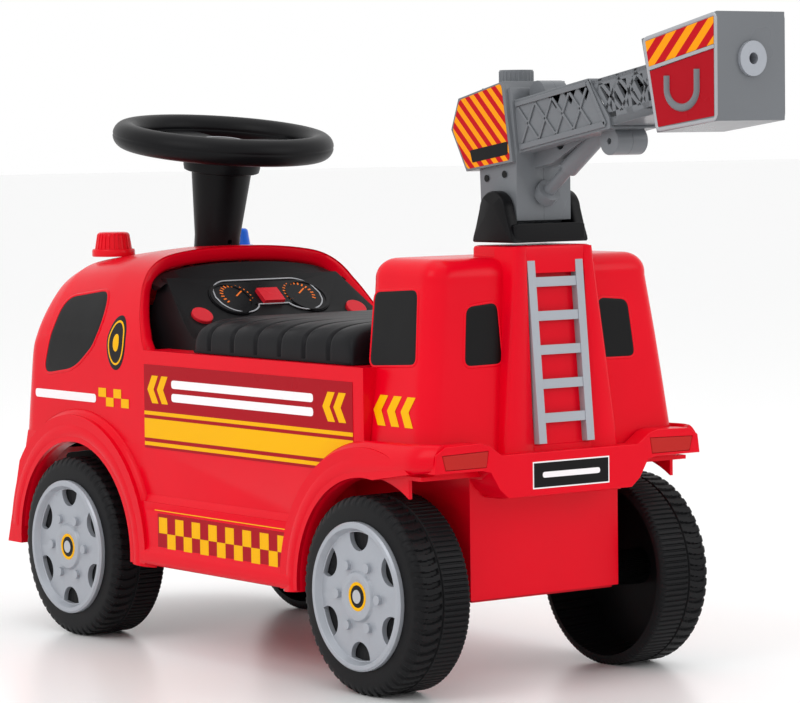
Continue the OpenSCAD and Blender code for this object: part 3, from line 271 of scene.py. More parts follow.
def stripedVinyl(name, first, second, pitch, slant):
    # Two inks in slanted bands. Band number = (y + slant * z) / pitch; its fraction picks the ink.
    material, tree, shader = newMaterial(name)
    shader.inputs["Roughness"].default_value = 0.3
    shader.inputs["Specular IOR Level"].default_value = 0.08
    place = addNode(tree, "ShaderNodeTexCoord")
    split = addNode(tree, "ShaderNodeSeparateXYZ", {}, {"Vector": place.outputs["Object"]})
    lean = addNode(tree, "ShaderNodeMath", {"operation": "MULTIPLY"}, {0: split.outputs["Z"]})
    lean.inputs[1].default_value = slant
    total = addNode(tree, "ShaderNodeMath", {"operation": "ADD"}, {0: split.outputs["Y"], 1: lean.outputs[0]})
    bands = addNode(tree, "ShaderNodeMath", {"operation": "MULTIPLY"}, {0: total.outputs[0]})
    bands.inputs[1].default_value = 1000 / pitch
    part = addNode(tree, "ShaderNodeMath", {"operation": "FRACT"}, {0: bands.outputs[0]})
    pick = addNode(tree, "ShaderNodeMath", {"operation": "GREATER_THAN"}, {0: part.outputs[0]})
    pick.inputs[1].default_value = 0.5
    ink = addNode(tree, "ShaderNodeMix", {"data_type": "RGBA"})
    ink.inputs[6].default_value, ink.inputs[7].default_value = linear(first), linear(second)
    tree.links.new(pick.outputs[0], ink.inputs[0])
    tree.links.new(ink.outputs[2], shader.inputs["Base Color"])
    film = addNode(tree, "ShaderNodeTexNoise", {"Scale": 60.0}, {"Vector": place.outputs["Object"]})
    bump = addNode(tree, "ShaderNodeBump", {"Strength": 0.1, "Distance": 0.0005}, {"Height": film.outputs["Fac"]})
    tree.links.new(bump.outputs["Normal"], shader.inputs["Normal"])
    return material


weightStripe = stripedVinyl("stripedVinylSticker", "#b80a18", "#f0960a", 13.0, 1.1)
bucketStripe = stripedVinyl("stripedBucketSticker", "#b80a18", "#f0960a", 17.0, -1.0)
print("materials made")

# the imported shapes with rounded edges

slotLooks = {
    "red_plastic": redPlastic, "tray_plastic": trayRed, "black_plastic": blackPlastic,
    "window_plastic": windowPlastic, "grey_plastic": greyPlastic, "silver_plastic": silverPlastic,
    "tyre_plastic": tyrePlastic, "steel": steel, "lens_clear": clearLens, "lens_red": lampRed,
    "beacon_red_plastic": beaconRed, "beacon_blue_plastic": beaconBlue, "gauge_print": gaugePrint,
    "button_red": buttonRed,
}
edgeWidths = {
    "body_shell": 3.0, "rear_bumper": 2.5, "ladder": 0.8, "bucket": 2.0,
    "crane_half_left": 1.2, "crane_half_right": 1.2, "boom_inner": 0.6,
    "dashboard": 2.0, "tail_lights": 0.6, "cover_front_left": 0.8,
    "cover_front_right": 0.8, "cover_rear_left": 0.8, "cover_rear_right": 0.8, "strut": 0.8,
    "rocker_switch": 1.0, "horn_button_left": 0.8, "horn_button_right": 0.8, "filler_cap": 0.4,
    "round_button_left": 0.8, "round_button_right": 0.8, "steering_column": 1.5, "horn_pad": 0.8,
}
slotOf = {sub["node"]: sub["material_slot"] for sub in frame["record"]["subparts"]}
for node, piece in nodes.items():
    look = slotLooks[slotOf[node]]
    piece.data.materials.clear()
    piece.data.materials.append(look)
    if node in edgeWidths:
        softened(node, look, edgeWidths[node])
print("packed shapes dressed")

# cab

cabShape = {
    "section": [(125, 163), (124.7, 200), (124, 238), (121, 253), (115.5, 268), (106, 286), (95, 300), (80, 309),
        (60, 313.5), (30, 316.4), (0, 317)],
    "roof": [(-527, 266), (-518, 284), (-507, 293), (-491, 302), (-469, 309), (-403, 315), (-383, 316.6),
        (-340, 317)],
    "front": -527, "bow": 46, "lean": 11, "leanFade": 170, "foot": 163, "rearFoot": -308, "rearTop": -351,
    "hoop": 13, "hoopReturn": 34,
}


def leanBack(y, z):
    # how far the front leans back at a height: full at the nose, none 170 mm behind it
    fade = 1 - np.clip((y - cabShape["front"]) / cabShape["leanFade"], 0, 1)
    return math.tan(math.radians(cabShape["lean"])) * (z - cabShape["foot"]) * fade ** 2


def cabHalfWidth(z):
    # half width of the cab at a height
    curve = smoothLine(cabShape["section"], 200)
    return np.interp(z, curve[:, 1], curve[:, 0])


def bowShare(y):
    # share of the full width left at y: 1 behind the bow, 0 at its tip, a rounded corner between
    t = np.clip((y - cabShape["front"]) / cabShape["bow"], 0, 1)
    return (1 - (1 - t) ** 2.3) ** (1 / 2.3)


def cabSkin():
    # The section is carried from the bowed front to the hoop. At each station its width is scaled by
    # the bow and its height by the roof line; then it turns in round the hoop's edge and runs forward.
    half = smoothLine(cabShape["section"], 70)
    section = np.vstack([half, (half * [-1, 1])[-2::-1]])
    slope = np.gradient(section, axis=0)
    normal = np.stack([slope[:, 1], -slope[:, 0]], 1) / np.linalg.norm(slope, axis=1)[:, None]
    sx, sz = section.T
    rear = np.interp(sz, [163, 238, 288, 317], [cabShape["rearFoot"]] * 2 + [-339, cabShape["rearTop"]])
    t = (1 - np.cos(np.linspace(0, math.pi / 2, 60)))[None, :]
    y = cabShape["front"] + t * (rear[:, None] - cabShape["front"])
    roof = np.array(cabShape["roof"], float)
    share = (np.interp(y, roof[:, 0], roof[:, 1]) - cabShape["foot"]) / (317 - cabShape["foot"])
    z = cabShape["foot"] + (sz[:, None] - cabShape["foot"]) * share
    x = sx[:, None] * bowShare(y)
    y = y + leanBack(y, z)
    turnIn = np.array([(0.5, -1.2), (1.6, 0.2), (3.5, 0.6), (9.5, 0.6), (12, -0.6), (13, -3),
        (13.2, -cabShape["hoopReturn"])])
    inset, along = turnIn[:, 0][None, :], turnIn[:, 1][None, :]
    x2 = sx[:, None] - normal[:, 0:1] * inset
    z2 = sz[:, None] - normal[:, 1:2] * inset
    y2 = rear[:, None] + along - 0.35 * inset * np.clip((z2 - 238) / 60, 0, 1)
    grid = points(np.hstack([x, x2]), np.hstack([y, y2]), np.hstack([z, z2]))
    return grid, gridFaces(*grid.shape[:2])


grid, faces = cabSkin()
buildPiece("cabSkin", [(grid, faces.tolist())], redPlastic, "chassis", ("cab",), angle=50)


def paneOn(outline, surface, lift, depth=2.0, rows=14):
    # outline shrunk towards its middle in steps, laid on the surface; the same again behind it closes the pane
    outline = np.asarray(outline, float)
    middle = outline.mean(0)
    s = np.concatenate([np.linspace(0.02, 1, rows), np.linspace(1, 0.02, rows)])[:, None]
    level = np.concatenate([np.full(rows, lift), np.full(rows, -depth)])[:, None]
    level[rows - 1] -= 0.25
    u = middle[0] + s * (outline[None, :, 0] - middle[0])
    v = middle[1] + s * (outline[None, :, 1] - middle[1])
    grid = surface(u, v, level + 0 * u)
    n = len(outline)
    faces = gridFaces(2 * rows, n, False, True).tolist()
    return grid, faces + [list(range(n)), list(range(2 * rows * n - 1, (2 * rows - 1) * n - 1, -1))]


def rimOn(outline, surface, width, height):
    # a raised bead that follows the outline: half-round profile carried along it
    outline = np.asarray(outline, float)
    ahead = np.roll(outline, -1, 0) - np.roll(outline, 1, 0)
    normal = np.stack([ahead[:, 1], -ahead[:, 0]], 1) / np.linalg.norm(ahead, axis=1)[:, None]
    a = np.linspace(0, math.pi, 7)[:, None]
    u = outline[None, :, 0] + normal[None, :, 0] * np.cos(a) * width / 2
    v = outline[None, :, 1] + normal[None, :, 1] * np.cos(a) * width / 2
    grid = surface(u, v, np.sin(a) * height - 0.3 + 0 * u)
    return grid, gridFaces(7, len(outline), False, True).tolist()


def cabSide(y, z, h):
    # a spot h outside the cab's side wall
    return points(cabHalfWidth(z) * bowShare(y - leanBack(y, z)) + h, y, z)


cabWindow = roundedCorners([(-464, 211), (-452, 246), (-444, 276), (-383, 284), (-375, 264), (-381, 240),
    (-413, 218)], 14, 8)
pane, paneFaces = paneOn(cabWindow, cabSide, 0.5)
buildPiece("cabSideWindows", [(pane, paneFaces)], windowPlastic, "chassis", ("cab_windows",), mirrorX=True)
bead, beadFaces = rimOn(cabWindow, cabSide, 2.6, 1.1)
buildPiece("cabWindowRims", [(bead, beadFaces)], redPlastic, "chassis", mirrorX=True)


def screenSurface(x, z, h):
    # the bowed front: at half width x the nose has come back by the bow's own curve
    share = np.clip(np.abs(x) / cabHalfWidth(z), 0, 0.995)
    t = 1 - (1 - share ** 2.3) ** (1 / 2.3)
    y = cabShape["front"] + cabShape["bow"] * t
    return points(x, y + leanBack(y, z) - h, z)


screen = roundedCorners([(-92, 204), (-84, 262), (84, 262), (92, 204)], 12, 8)
screen = np.stack([np.interp(np.linspace(0, len(screen), 160), np.arange(len(screen) + 1),
    np.append(screen[:, k], screen[0, k])) for k in (0, 1)], 1)[:-1]
pane, paneFaces = paneOn(screen, screenSurface, 0.5, 1.5, 20)
buildPiece("windscreenPane", [(pane, paneFaces)], windowPlastic, "chassis", ("windscreen",))
bead, beadFaces = rimOn(screen, screenSurface, 2.6, 1.1)
buildPiece("windscreenRim", [(bead, beadFaces)], redPlastic, "chassis")
print("cab made")

# rear cabin

cabinShape = {
    "heights": [163, 170, 185, 220, 254, 285, 300],
    "half": [125, 122.5, 119, 114.6, 110, 105.2, 103],
    "front": [-20, -20, -20.5, -24, -27.5, -30.7, -32],
    "rear": [60, 59.5, 58, 55.3, 52.7, 50.3, 49],
    "corner": 15, "roofRound": 15,
}


def cabinLevels():
    # walls up to the shoulder, then a quarter round; cabinSkin draws the crowned roof in to its middle
    z = np.linspace(163, 302, 60)
    rise = np.linspace(0, math.pi / 2, 12)[1:]
    inset = np.concatenate([0 * z, cabinShape["roofRound"] * (1 - np.cos(rise))])
    z = np.concatenate([z, 302 + cabinShape["roofRound"] * np.sin(rise)])
    return z, inset


def cabinSkin():
    z, inset = cabinLevels()
    half = np.interp(z, cabinShape["heights"], cabinShape["half"]) - inset
    front = np.interp(z, cabinShape["heights"], cabinShape["front"]) + inset
    rear = np.interp(z, cabinShape["heights"], cabinShape["rear"]) - inset
    corner = np.maximum(cabinShape["corner"] - 0.7 * inset, 3)
    shrink = np.linspace(1, 0.02, 8)[1:]
    middle = (front[-1] + rear[-1]) / 2
    half = np.concatenate([half, half[-1] * shrink])
    front2 = np.concatenate([front, middle + (front[-1] - middle) * shrink])
    rear2 = np.concatenate([rear, middle + (rear[-1] - middle) * shrink])
    corner = np.concatenate([corner, corner[-1] * shrink])
    z = np.concatenate([z, 317 + 0.8 * (1 - shrink ** 2)])
    a = np.linspace(0, math.pi / 2, 9)[None, None, :] + (np.arange(4) * math.pi / 2)[None, :, None]
    signX, signY = np.array([1, -1, -1, 1]), np.array([1, 1, -1, -1])
    cx = (half - corner)[:, None] * signX
    cy = np.where(signY > 0, (rear2 - corner)[:, None], (front2 + corner)[:, None])
    arc = np.stack([cx[:, :, None] + corner[:, None, None] * np.cos(a),
        cy[:, :, None] + corner[:, None, None] * np.sin(a)], -1)
    t = (np.arange(1, 16) / 16)[None, None, :, None]
    edge = arc[:, :, -1:, :] + t * (np.roll(arc, -1, 1)[:, :, :1, :] - arc[:, :, -1:, :])
    ring = np.concatenate([arc, edge], 2).reshape(len(z), -1, 2)
    grid = points(ring[:, :, 0], ring[:, :, 1], z[:, None] + 0 * ring[:, :, 0])
    n = grid.shape[1]
    return grid, gridFaces(len(z), n, False, True).tolist() + [list(range((len(z) - 1) * n, len(z) * n))]


def pillarSkin():
    # a channel section carried up the lean of the cabin's back; its floor is the ladder's recess
    h = np.concatenate([np.linspace(-20, 17, 8), np.linspace(17.5, 161, 40)])
    share = np.clip(h / 161, 0, 1)
    w = (55 + (36 - 55) * share)[:, None]
    face = 67.5 - h * math.tan(math.radians(2.7))
    floorY = np.where(h > 17.2, 67.5 - h * math.tan(math.radians(5.3)) + 0.05, face)
    outer, inner = face[:, None], (face - 22)[:, None]
    floorY = floorY[:, None]
    one = np.ones((len(h), 1))
    x = np.hstack([-w - 3, -w - 0.6, -w, -w + 1.0, -w + 3, -27.6 * one, -27 * one, -27 * one, 27 * one, 27 * one,
        27.6 * one, w - 3, w - 1.0, w, w + 0.6, w + 3])
    y = np.hstack([inner, outer - 5, outer - 2.6, outer - 0.8, outer, outer, outer - 0.5, floorY, floorY, outer - 0.5,
        outer, outer, outer - 0.8, outer - 2.6, outer - 5, inner])
    z = 163 + h[:, None] + 0 * x
    grid = points(x, y, np.minimum(z, 325))
    return grid, gridFaces(*grid.shape[:2], False, True).tolist()


def plinthSkin():
    # rounded rectangle drawn up to the plinth's top and closed
    outline = roundedCorners([(-36, 6), (36, 6), (36, 59.5), (-36, 59.5)], 5, 6)
    middle = outline.mean(0)
    level = np.array([(305, 0), (322.5, 0), (324.3, 0.6), (325, 2.2), (325, 20)])
    size = (1 - level[:, 1] / 30)[:, None, None]
    ring = middle + (outline[None] - middle) * size
    grid = points(ring[:, :, 0], ring[:, :, 1], level[:, 0][:, None] + 0 * ring[:, :, 0])
    n = len(outline)
    return grid, gridFaces(len(level), n, False, True).tolist() + [list(range((len(level) - 1) * n, len(level) * n))]


cabinParts = [cabinSkin(), pillarSkin(), plinthSkin()]
buildPiece("rearCabinSkin", cabinParts, redPlastic, "chassis", ("rear_cabin",), angle=45)


def cabinSide(y, z, h):
    return points(np.interp(z, cabinShape["heights"], cabinShape["half"]) + h, y, z)


def cabinBack(x, z, h):
    return points(x, np.interp(z, cabinShape["heights"], cabinShape["rear"]) + h, z)


sideWindow = roundedCorners([(-18, 238), (-21.5, 293), (31, 296), (38.5, 241)], 7, 7)
rearWindow = roundedCorners([(45, 239.5), (47, 285.5), (76.5, 283), (81, 239)], 7, 7)
panes = [paneOn(sideWindow, cabinSide, 0.5), paneOn(rearWindow, cabinBack, 0.5)]
buildPiece("cabinPanes", panes, windowPlastic, "chassis", ("cabin_windows",), mirrorX=True)
rims = [rimOn(sideWindow, cabinSide, 2.4, 1.0), rimOn(rearWindow, cabinBack, 2.4, 1.0)]
buildPiece("cabinWindowRims", rims, redPlastic, "chassis", mirrorX=True)
print("rear cabin made")

# fenders and sill

lipProfile = [(119, 92), (124.6, 112.5), (126.2, 112.2), (128.2, 110.2), (130.8, 106), (132.8, 101), (133.5, 96),
    (133.4, 91.5), (132, 87.8), (129.6, 85.8), (126, 85.2), (117, 85.2)]


def frontFender():
    grid = sweptBand(lipProfile, -405, axleZ, np.linspace(-4, 174, 80))
    n = len(lipProfile)
    return grid, gridFaces(80, n, False, True).tolist() + [list(range(n)), list(range(79 * n, 80 * n))]


def rearFender():
    # round the wheel's front half, then straight back to the bumper, where the band narrows and turns in
    a = np.radians(np.concatenate([np.linspace(184, 90, 56), np.full(16, 90.0)]))[:, None]
    k = np.concatenate([np.zeros(56), np.linspace(0, 1, 17)[1:]])[:, None]
    profile = np.array(lipProfile, float)
    r = profile[None, :, 1] + 0.28 * k * (112 - profile[None, :, 1])
    x = profile[None, :, 0] - 9 * np.clip((k - 0.72) / 0.28, 0, 1) ** 2
    grid = points(x, r * np.cos(a) + 74 * k, axleZ + r * np.sin(a) + 1.5 * k)
    n = len(lipProfile)
    return grid, gridFaces(72, n, False, True).tolist() + [list(range(n)), list(range(71 * n, 72 * n))]


def sill():
    profile = np.array([(122, 124), (125.3, 123.5), (126.8, 121), (128.8, 116), (130.1, 111), (130.4, 104),
        (130.4, 84), (131.2, 81), (132.8, 79.4), (133.6, 77), (133.7, 72), (132.9, 69), (130.8, 67.8), (122, 67.8)])
    y = np.linspace(-303, -94, 12)[:, None]
    grid = points(profile[None, :, 0] + 0 * y, y + 0 * profile[None, :, 0], profile[None, :, 1] + 0 * y)
    n = len(profile)
    return grid, gridFaces(12, n, False, True).tolist() + [list(range(n)), list(range(11 * n, 12 * n))]


buildPiece("fenderLips", [frontFender(), rearFender(), sill()], redPlastic, "chassis", mirrorX=True, angle=50)
print("fenders made")

# wheels

wheelShape = {"outer": 73.0, "fineRibs": 108, "lugs": 54, "ribDepth": 1.1, "lugDepth": 1.7}


def tyreSkin(side, y0):
    # The tread profile (axial, radius) turned about the axle. Radius loses a wave of the angle:
    # fine straight ribs on the inner half, coarse swept lugs on the outer half, a seam between.
    axial = np.concatenate([[-26, -26, -25.6, -24.6], np.linspace(-23.4, -1.6, 12), [-0.9, -0.2, 0.5, 1.2],
        np.linspace(1.9, 16.5, 16), [17.6, 18.6, 19.6, 20.5, 21.2, 21.6, 21.6, 17.2, 17, 17, -24, -24, 13, 13, -24]])
    radius = np.concatenate([[66, 68.6, 70.4, 72.0], np.full(12, wheelShape["outer"]), [73, 71.9, 71.9, 73],
        np.full(16, wheelShape["outer"]), [72.6, 72.0, 71.0, 69.6, 67.6, 65, 55.0, 54.8, 54, 5.2, 5.2, 13, 14, 64, 66]])
    n = 648
    a = np.linspace(0, 2 * math.pi, n, endpoint=False)[:, None]
    x, r = axial[None, :], radius[None, :]
    fine = (np.sin(wheelShape["fineRibs"] * a) > -0.1) * ((x > -24.8) & (x < -1.2))
    swept = wheelShape["lugs"] * a + 0.9 * np.sin((x - 2) / 15 * math.pi) + 0.05 * (x - 9)
    bold = (np.sin(swept) > -0.25) * ((x > 1.5) & (x < 20.8))
    edge = np.where((x < -22) | (x > 16), 0.7, 1.0)
    r = r - wheelShape["ribDepth"] * edge * (1 - fine) * ((x > -25.8) & (x < -1.2))
    r = r - wheelShape["lugDepth"] * edge * (1 - bold) * ((x > 1.5) & (x < 20.8))
    grid = points(side * (116 + x + 0 * a), y0 + r * np.cos(a), axleZ + r * np.sin(a))
    return grid, gridFaces(n, len(axial), True, True).tolist()


for front, y0 in (("front", -405), ("rear", 0)):
    for hand, side in (("left", 1), ("right", -1)):
        body = f"{front}_wheel_{hand}"
        buildPiece(f"tread_{front}_{hand}", [tyreSkin(side, y0)], tyrePlastic, body, (f"tyre_{front}_{hand}",),
            angle=40)
        capPlace = lambda u, v, h: points(side * (137.0 + h), y0 + u, axleZ + v)
        a = np.linspace(0, 2 * math.pi, 49)[:-1]
        disc = np.stack([np.cos(a), np.sin(a)], 1)
        buildPiece(f"hubCap_{front}_{hand}", [paneOn(disc * 13.5, capPlace, 2.2, 6.0, 5)], windowPlastic, body,
            angle=30)
        buildPiece(f"hubRing_{front}_{hand}",
            [rimOn(disc * 9.5, lambda u, v, h: capPlace(u, v, h + 2.4), 2.6, 0.6),
            paneOn(disc * 4.4, lambda u, v, h: capPlace(u, v, h + 2.2), 0.4, 0.6, 3)], yellowSticker, body, angle=30)
print("wheels made")

# seat

seatShape = {"half": 118, "front": -243.5, "rear": -32.5, "foot": 238.6, "crown": 267.5,
    "pleats": [-222, -190, -158, -126, -94, -62], "pleatDepth": 2.6}


def seatSkin():
    # superellipse section carried from front to back; the ends close in, and each pleat is a narrow dip
    a = np.linspace(0, math.pi, 97)[None, :]
    y = np.concatenate([np.linspace(0, 1, 10)[:-1] ** 1.5 * 10, np.linspace(10, 203, 190),
        211 - np.linspace(1, 0, 9)[1:] ** 1.5 * 8])[:, None] + seatShape["front"]
    t = (y - seatShape["front"]) / (seatShape["rear"] - seatShape["front"])
    close = (1 - np.abs(2 * t - 1) ** 30) ** (1 / 3.0)
    power = 0.32
    x = seatShape["half"] * np.sign(np.cos(a)) * np.abs(np.cos(a)) ** power * (0.985 + 0.015 * close)
    height = (seatShape["crown"] - seatShape["foot"] - 2 + 3.5 * t) * (0.25 + 0.75 * close)
    z = seatShape["foot"] + height * np.abs(np.sin(a)) ** 0.42
    dip = sum(np.exp(-((y - p) / 1.7) ** 2) for p in seatShape["pleats"])
    puff = 0.8 * np.cos((y - seatShape["pleats"][0]) / 32 * 2 * math.pi)
    z = z - (seatShape["pleatDepth"] * dip + puff * 0.6) * np.sin(a) ** 0.3 * close
    x = x - np.sign(x) * seatShape["pleatDepth"] * 0.6 * dip * (np.abs(np.cos(a)) > 0.7)
    grid = points(x, y + 0 * x, z)
    n, m = grid.shape[:2]
    return grid, gridFaces(n, m, False, True).tolist() + [list(range(m)), list(range((n - 1) * m, n * m))]


buildPiece("pleatedSeat", [seatSkin()], padPlastic, "seat_lid", angle=60)
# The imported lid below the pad's foot: its underside, the locating rim and the hinge lugs
base = bmesh.new()
base.from_mesh(nodes["seat"].data)
bmesh.ops.remove_doubles(base, verts=base.verts, dist=1e-5)
bmesh.ops.bisect_plane(base, geom=base.verts[:] + base.edges[:] + base.faces[:], plane_co=(0, 0, 0.2405),
    plane_no=(0, 0, 1), clear_outer=True)
bmesh.ops.holes_fill(base, edges=[e for e in base.edges if e.is_boundary])
baseMesh = bpy.data.meshes.new("seatUnderside")
base.to_mesh(baseMesh)
base.free()
finishPiece("seatUnderside", baseMesh, padPlastic, "seat_lid", ("seat",), bevel=0.6)
print("seat made")

# stickers

side125 = lambda y, z, h: points(125.25 + h, y, z)
sill130 = lambda y, z, h: points(130.45 + h, y, z)


def circleOf(radius, count=64):
    a = np.linspace(0, 2 * math.pi, count, endpoint=False)
    return np.stack([radius * np.cos(a), radius * np.sin(a)], 1)


def rect(u0, v0, u1, v1):
    return [(u0, v0), (u1, v0), (u1, v1), (u0, v1)]


def chevron(y, z, size, width):
    # arrow head of one bent bar, pointing forward
    return [(y, z), (y + size * 0.62, z + size), (y + size * 0.62 + width, z + size), (y + width, z),
        (y + size * 0.62 + width, z - size), (y + size * 0.62, z - size)]


def sticker(name, outlines, surface, material, body="chassis", lift=0.0, mirrorX=True):
    place = lambda u, v, h: surface(u, v, h + lift)
    return buildPiece(name, [plateOn(o, place, 0.12) for o in outlines], material, body, mirrorX=mirrorX, angle=30)


sticker("sideStickerGround", [rect(-306, 160.5, -22, 227)], side125, stickerRed, lift=-0.05)
sticker("sideYellowBands", [rect(-306, 187, -22, 190), rect(-306, 168.6, -22, 184.2), rect(-306, 162.6, -22, 165.6)],
    side125, yellowSticker, lift=0.12)
marks = [chevron(-301, 207.5, 11, 9), chevron(-287, 207.5, 11, 9), chevron(-60, 207.5, 11, 9),
    chevron(-46, 207.5, 11, 9)]
sticker("sideChevrons", marks, side125, yellowSticker, lift=0.12)
sticker("sideWhiteBars", [roundedCorners(rect(-266, 209.5, -72, 216), 3, 4),
    roundedCorners(rect(-266, 199, -72, 205.5), 3, 4)], side125, whiteSticker, lift=0.12)
cabinMarks = [chevron(y, 207.5, 11, 9.5) for y in (-8, 8.5, 25)]
sticker("cabinChevrons", cabinMarks, cabinSide, yellowSticker, lift=0.3)
sillPitch = 11.8
checker = [rect(-279 + i * sillPitch, 82 + 12.6 * ((i + 1) % 2), -279 + (i + 1) * sillPitch,
    94.6 + 12.6 * ((i + 1) % 2)) for i in range(15)]
sticker("sillGround", [rect(-281, 81, -101, 110)], sill130, stickerRed, lift=-0.02)
sticker("sillChecker", checker, sill130, yellowSticker, lift=0.12)
lineBand = lambda y, z, h: points(np.interp(z, [110, 116, 121], [130.2, 128.9, 127.0]) + 0.25 + h, y, z)
sticker("sillLine", [rect(-286, 112, -101, 115)], lineBand, yellowSticker)
cabChecker = [rect(-376 + 11.5 * i, 190 + 7.3 * ((i + 1) % 2), -376 + 11.5 * (i + 1),
    197.3 + 7.3 * ((i + 1) % 2)) for i in range(4)]
sticker("cabChecker", cabChecker, cabSide, yellowSticker, lift=0.25)
sticker("cabWhiteBar", [roundedCorners(rect(-476, 192, -380, 199), 3.0, 4)], cabSide, whiteSticker, lift=0.3)
a = np.linspace(0, 2 * math.pi, 65)[:-1]
oval = np.stack([-350 + 14 * np.cos(a), 242 + 22 * np.sin(a)], 1)
buildPiece("cabOval", [paneOn(oval, cabSide, 0.35, 1.0, 6)], windowPlastic, "chassis", mirrorX=True)
ovalMiddle = oval.mean(0)
buildPiece("cabOvalRing", [rimOn(ovalMiddle + (oval - ovalMiddle) * 0.78, lambda u, v, h: cabSide(u, v, h + 0.4), 2.0,
    0.45), paneOn(ovalMiddle + (oval - ovalMiddle) * 0.36, lambda u, v, h: cabSide(u, v, h + 0.3), 0.2, 0.5, 4)],
    yellowSticker, "chassis", mirrorX=True)
plateSurface = lambda x, z, h: points(x, 76.05 + h, z)
sticker("rearPlateEdge", [rect(-36, 149.5, 36, 169.3)], plateSurface, whiteSticker, mirrorX=False)
sticker("rearPlate", [rect(-35, 150.5, 35, 168.3)], plateSurface, windowPlastic, lift=0.12, mirrorX=False)
sticker("rearPlateBar", [roundedCorners(rect(-27, 157.3, 27, 161.5), 2, 4)], plateSurface, whiteSticker, lift=0.24,
    mirrorX=False)
print("stickers made")

# crane

weightOutline = [(-16.3, 432.6), (36, 444.5), (46, 386.5), (-7, 379.5), (-25, 410)]
weightSide = lambda y, z, h: points(29.0 + h, y, z)
inner = np.array(weightOutline, float)
inner = inner.mean(0) + (inner - inner.mean(0)) * 0.96
buildPiece("weightStripes", [plateOn(roundedCorners(inner, 3, 4), weightSide, 0.15)], weightStripe, "crane",
    mirrorX=True)
buildPiece("weightBar", [plateOn(roundedCorners([(0, 385.5), (42, 391.5), (42, 401), (-3, 394.5)], 1, 3), lambda y, z,
    h: weightSide(y, z, h + 0.15), 0.12)], windowPlastic, "crane", mirrorX=True)

boomA = math.radians(9.5)


def boomPlace(x, u, v):
    # u runs along the boom from its root, v square to it
    return points(x, 46.3 + u * math.cos(boomA) - v * math.sin(boomA),
        412 + u * math.sin(boomA) + v * math.cos(boomA))


def bar(p, q, width):
    p, q = np.array(p, float), np.array(q, float)
    n = np.array([-(q - p)[1], (q - p)[0]]) / np.linalg.norm(q - p) * width / 2
    return [p - n, q - n, q + n, p + n]


# open side frames: crossed bars between a thin top rail and a deep bottom rail
latticeShape = {"cells": 4, "cell": 19.6, "start": 75, "low": -8, "high": 14, "bar": 3.0, "side": 17.6, "thick": 3.0}
cellAt = lambda i: latticeShape["start"] + latticeShape["cell"] * i
low, high = latticeShape["low"] - 0.6, latticeShape["high"] + 0.6
crosses = []
for i in range(latticeShape["cells"]):
    crosses += [bar((cellAt(i), low), (cellAt(i + 1), high), latticeShape["bar"]),
        bar((cellAt(i), high), (cellAt(i + 1), low), latticeShape["bar"])]
rails = [bar((66, 15.8), (163, 15.8), 3.6), bar((66, -12.6), (163, -12.6), 10.0), bar((158, -12), (158, 16), 8)]
frameSide = lambda u, v, h: boomPlace(latticeShape["side"] + h, u, v)
buildPiece("boomLattice", [plateOn(o, frameSide, latticeShape["thick"]) for o in crosses + rails], greyPlastic,
    "crane", ("boom_inner",), mirrorX=True, bevel=0.35)
ribs = []
for i in range(4):
    ribs += [bar((3 + 20 * i, -13), (22 + 20 * i, 13), 2.0), bar((3 + 20 * i, 13), (22 + 20 * i, -13), 2.0)]
ribs += [bar((0, 15.8), (82, 15.8), 3.4), bar((0, -15.6), (98, -15.6), 4.2), bar((83.5, 17), (98, -16), 3.0)]
boomFace = lambda u, v, h: boomPlace(22.5 + h, u, v)
buildPiece("boomRibs", [plateOn(o, boomFace, 1.3) for o in ribs], greyPlastic, "crane", mirrorX=True, bevel=0.35)
mastFace = lambda y, z, h: points(26.2 + h, y, z)
# flat black discs where the mast's screw holes are: painted shade standing in for the dark inside of each hole
screwHoleShade = [circleOf(2.6, 24) + [13, 374], circleOf(2.6, 24) + [34, 377]]
buildPiece("mastScrewHolePaintedShade", [plateOn(o, mastFace, 0.25) for o in screwHoleShade], windowPlastic, "crane", mirrorX=True)
acrossBoom = lambda u, v, h: boomPlace(h - 20.6, u, v)
ties = [bar((cellAt(i) - 2, 16.4), (cellAt(i) + 2, 16.4), 2.2) for i in range(1, 5)] + [bar((66, -16.4), (163, -16.4),
    2.2)]
buildPiece("boomTies", [plateOn(o, acrossBoom, 41.2) for o in ties], greyPlastic, "crane", bevel=0.35)

bucketSide = lambda y, z, h: points(31.0 + h, y, z)
stripArea = [(198.5, 469), (269, 484), (269, 465.5), (202, 451.5)]
lowerArea = [(203, 448.5), (269, 462.5), (269, 417), (211.5, 410)]
buildPiece("bucketStripes", [plateOn(stripArea, bucketSide, 0.15)], bucketStripe, "crane", mirrorX=True)
buildPiece("bucketPanel", [plateOn(lowerArea, bucketSide, 0.12)], stickerRed, "crane", mirrorX=True)
buildPiece("bucketFrame", [rimOn(roundedCorners([(196.8, 470.4), (270.8, 486), (270.8, 415), (210.3, 408)], 3, 4),
    bucketSide, 3.0, 1.0), plateOn(bar((202, 450), (270, 464), 2.4), bucketSide, 0.9)], silverGrey, "crane",
    mirrorX=True)
b = np.linspace(math.pi, 2 * math.pi, 25)
horseshoe = np.vstack([[(221, 445)], np.stack([236.5 + 15.5 * np.cos(b), 436 + 13 * np.sin(b)], 1), [(252, 449)]])


def openBead(path, surface, width, height):
    # half-round profile carried along an open path on the surface
    path = np.asarray(path, float)
    ahead = np.gradient(path, axis=0)
    normal = np.stack([ahead[:, 1], -ahead[:, 0]], 1) / np.linalg.norm(ahead, axis=1)[:, None]
    a = np.linspace(0, math.pi, 8)[:, None]
    u = path[None, :, 0] + normal[None, :, 0] * np.cos(a) * width / 2
    v = path[None, :, 1] + normal[None, :, 1] * np.cos(a) * width / 2
    grid = surface(u, v, np.sin(a) * height + 0 * u)
    return grid, gridFaces(8, len(path)).tolist()


buildPiece("bucketHandle", [openBead(horseshoe, bucketSide, 5.5, 2.2)], greyPlastic, "crane", mirrorX=True)


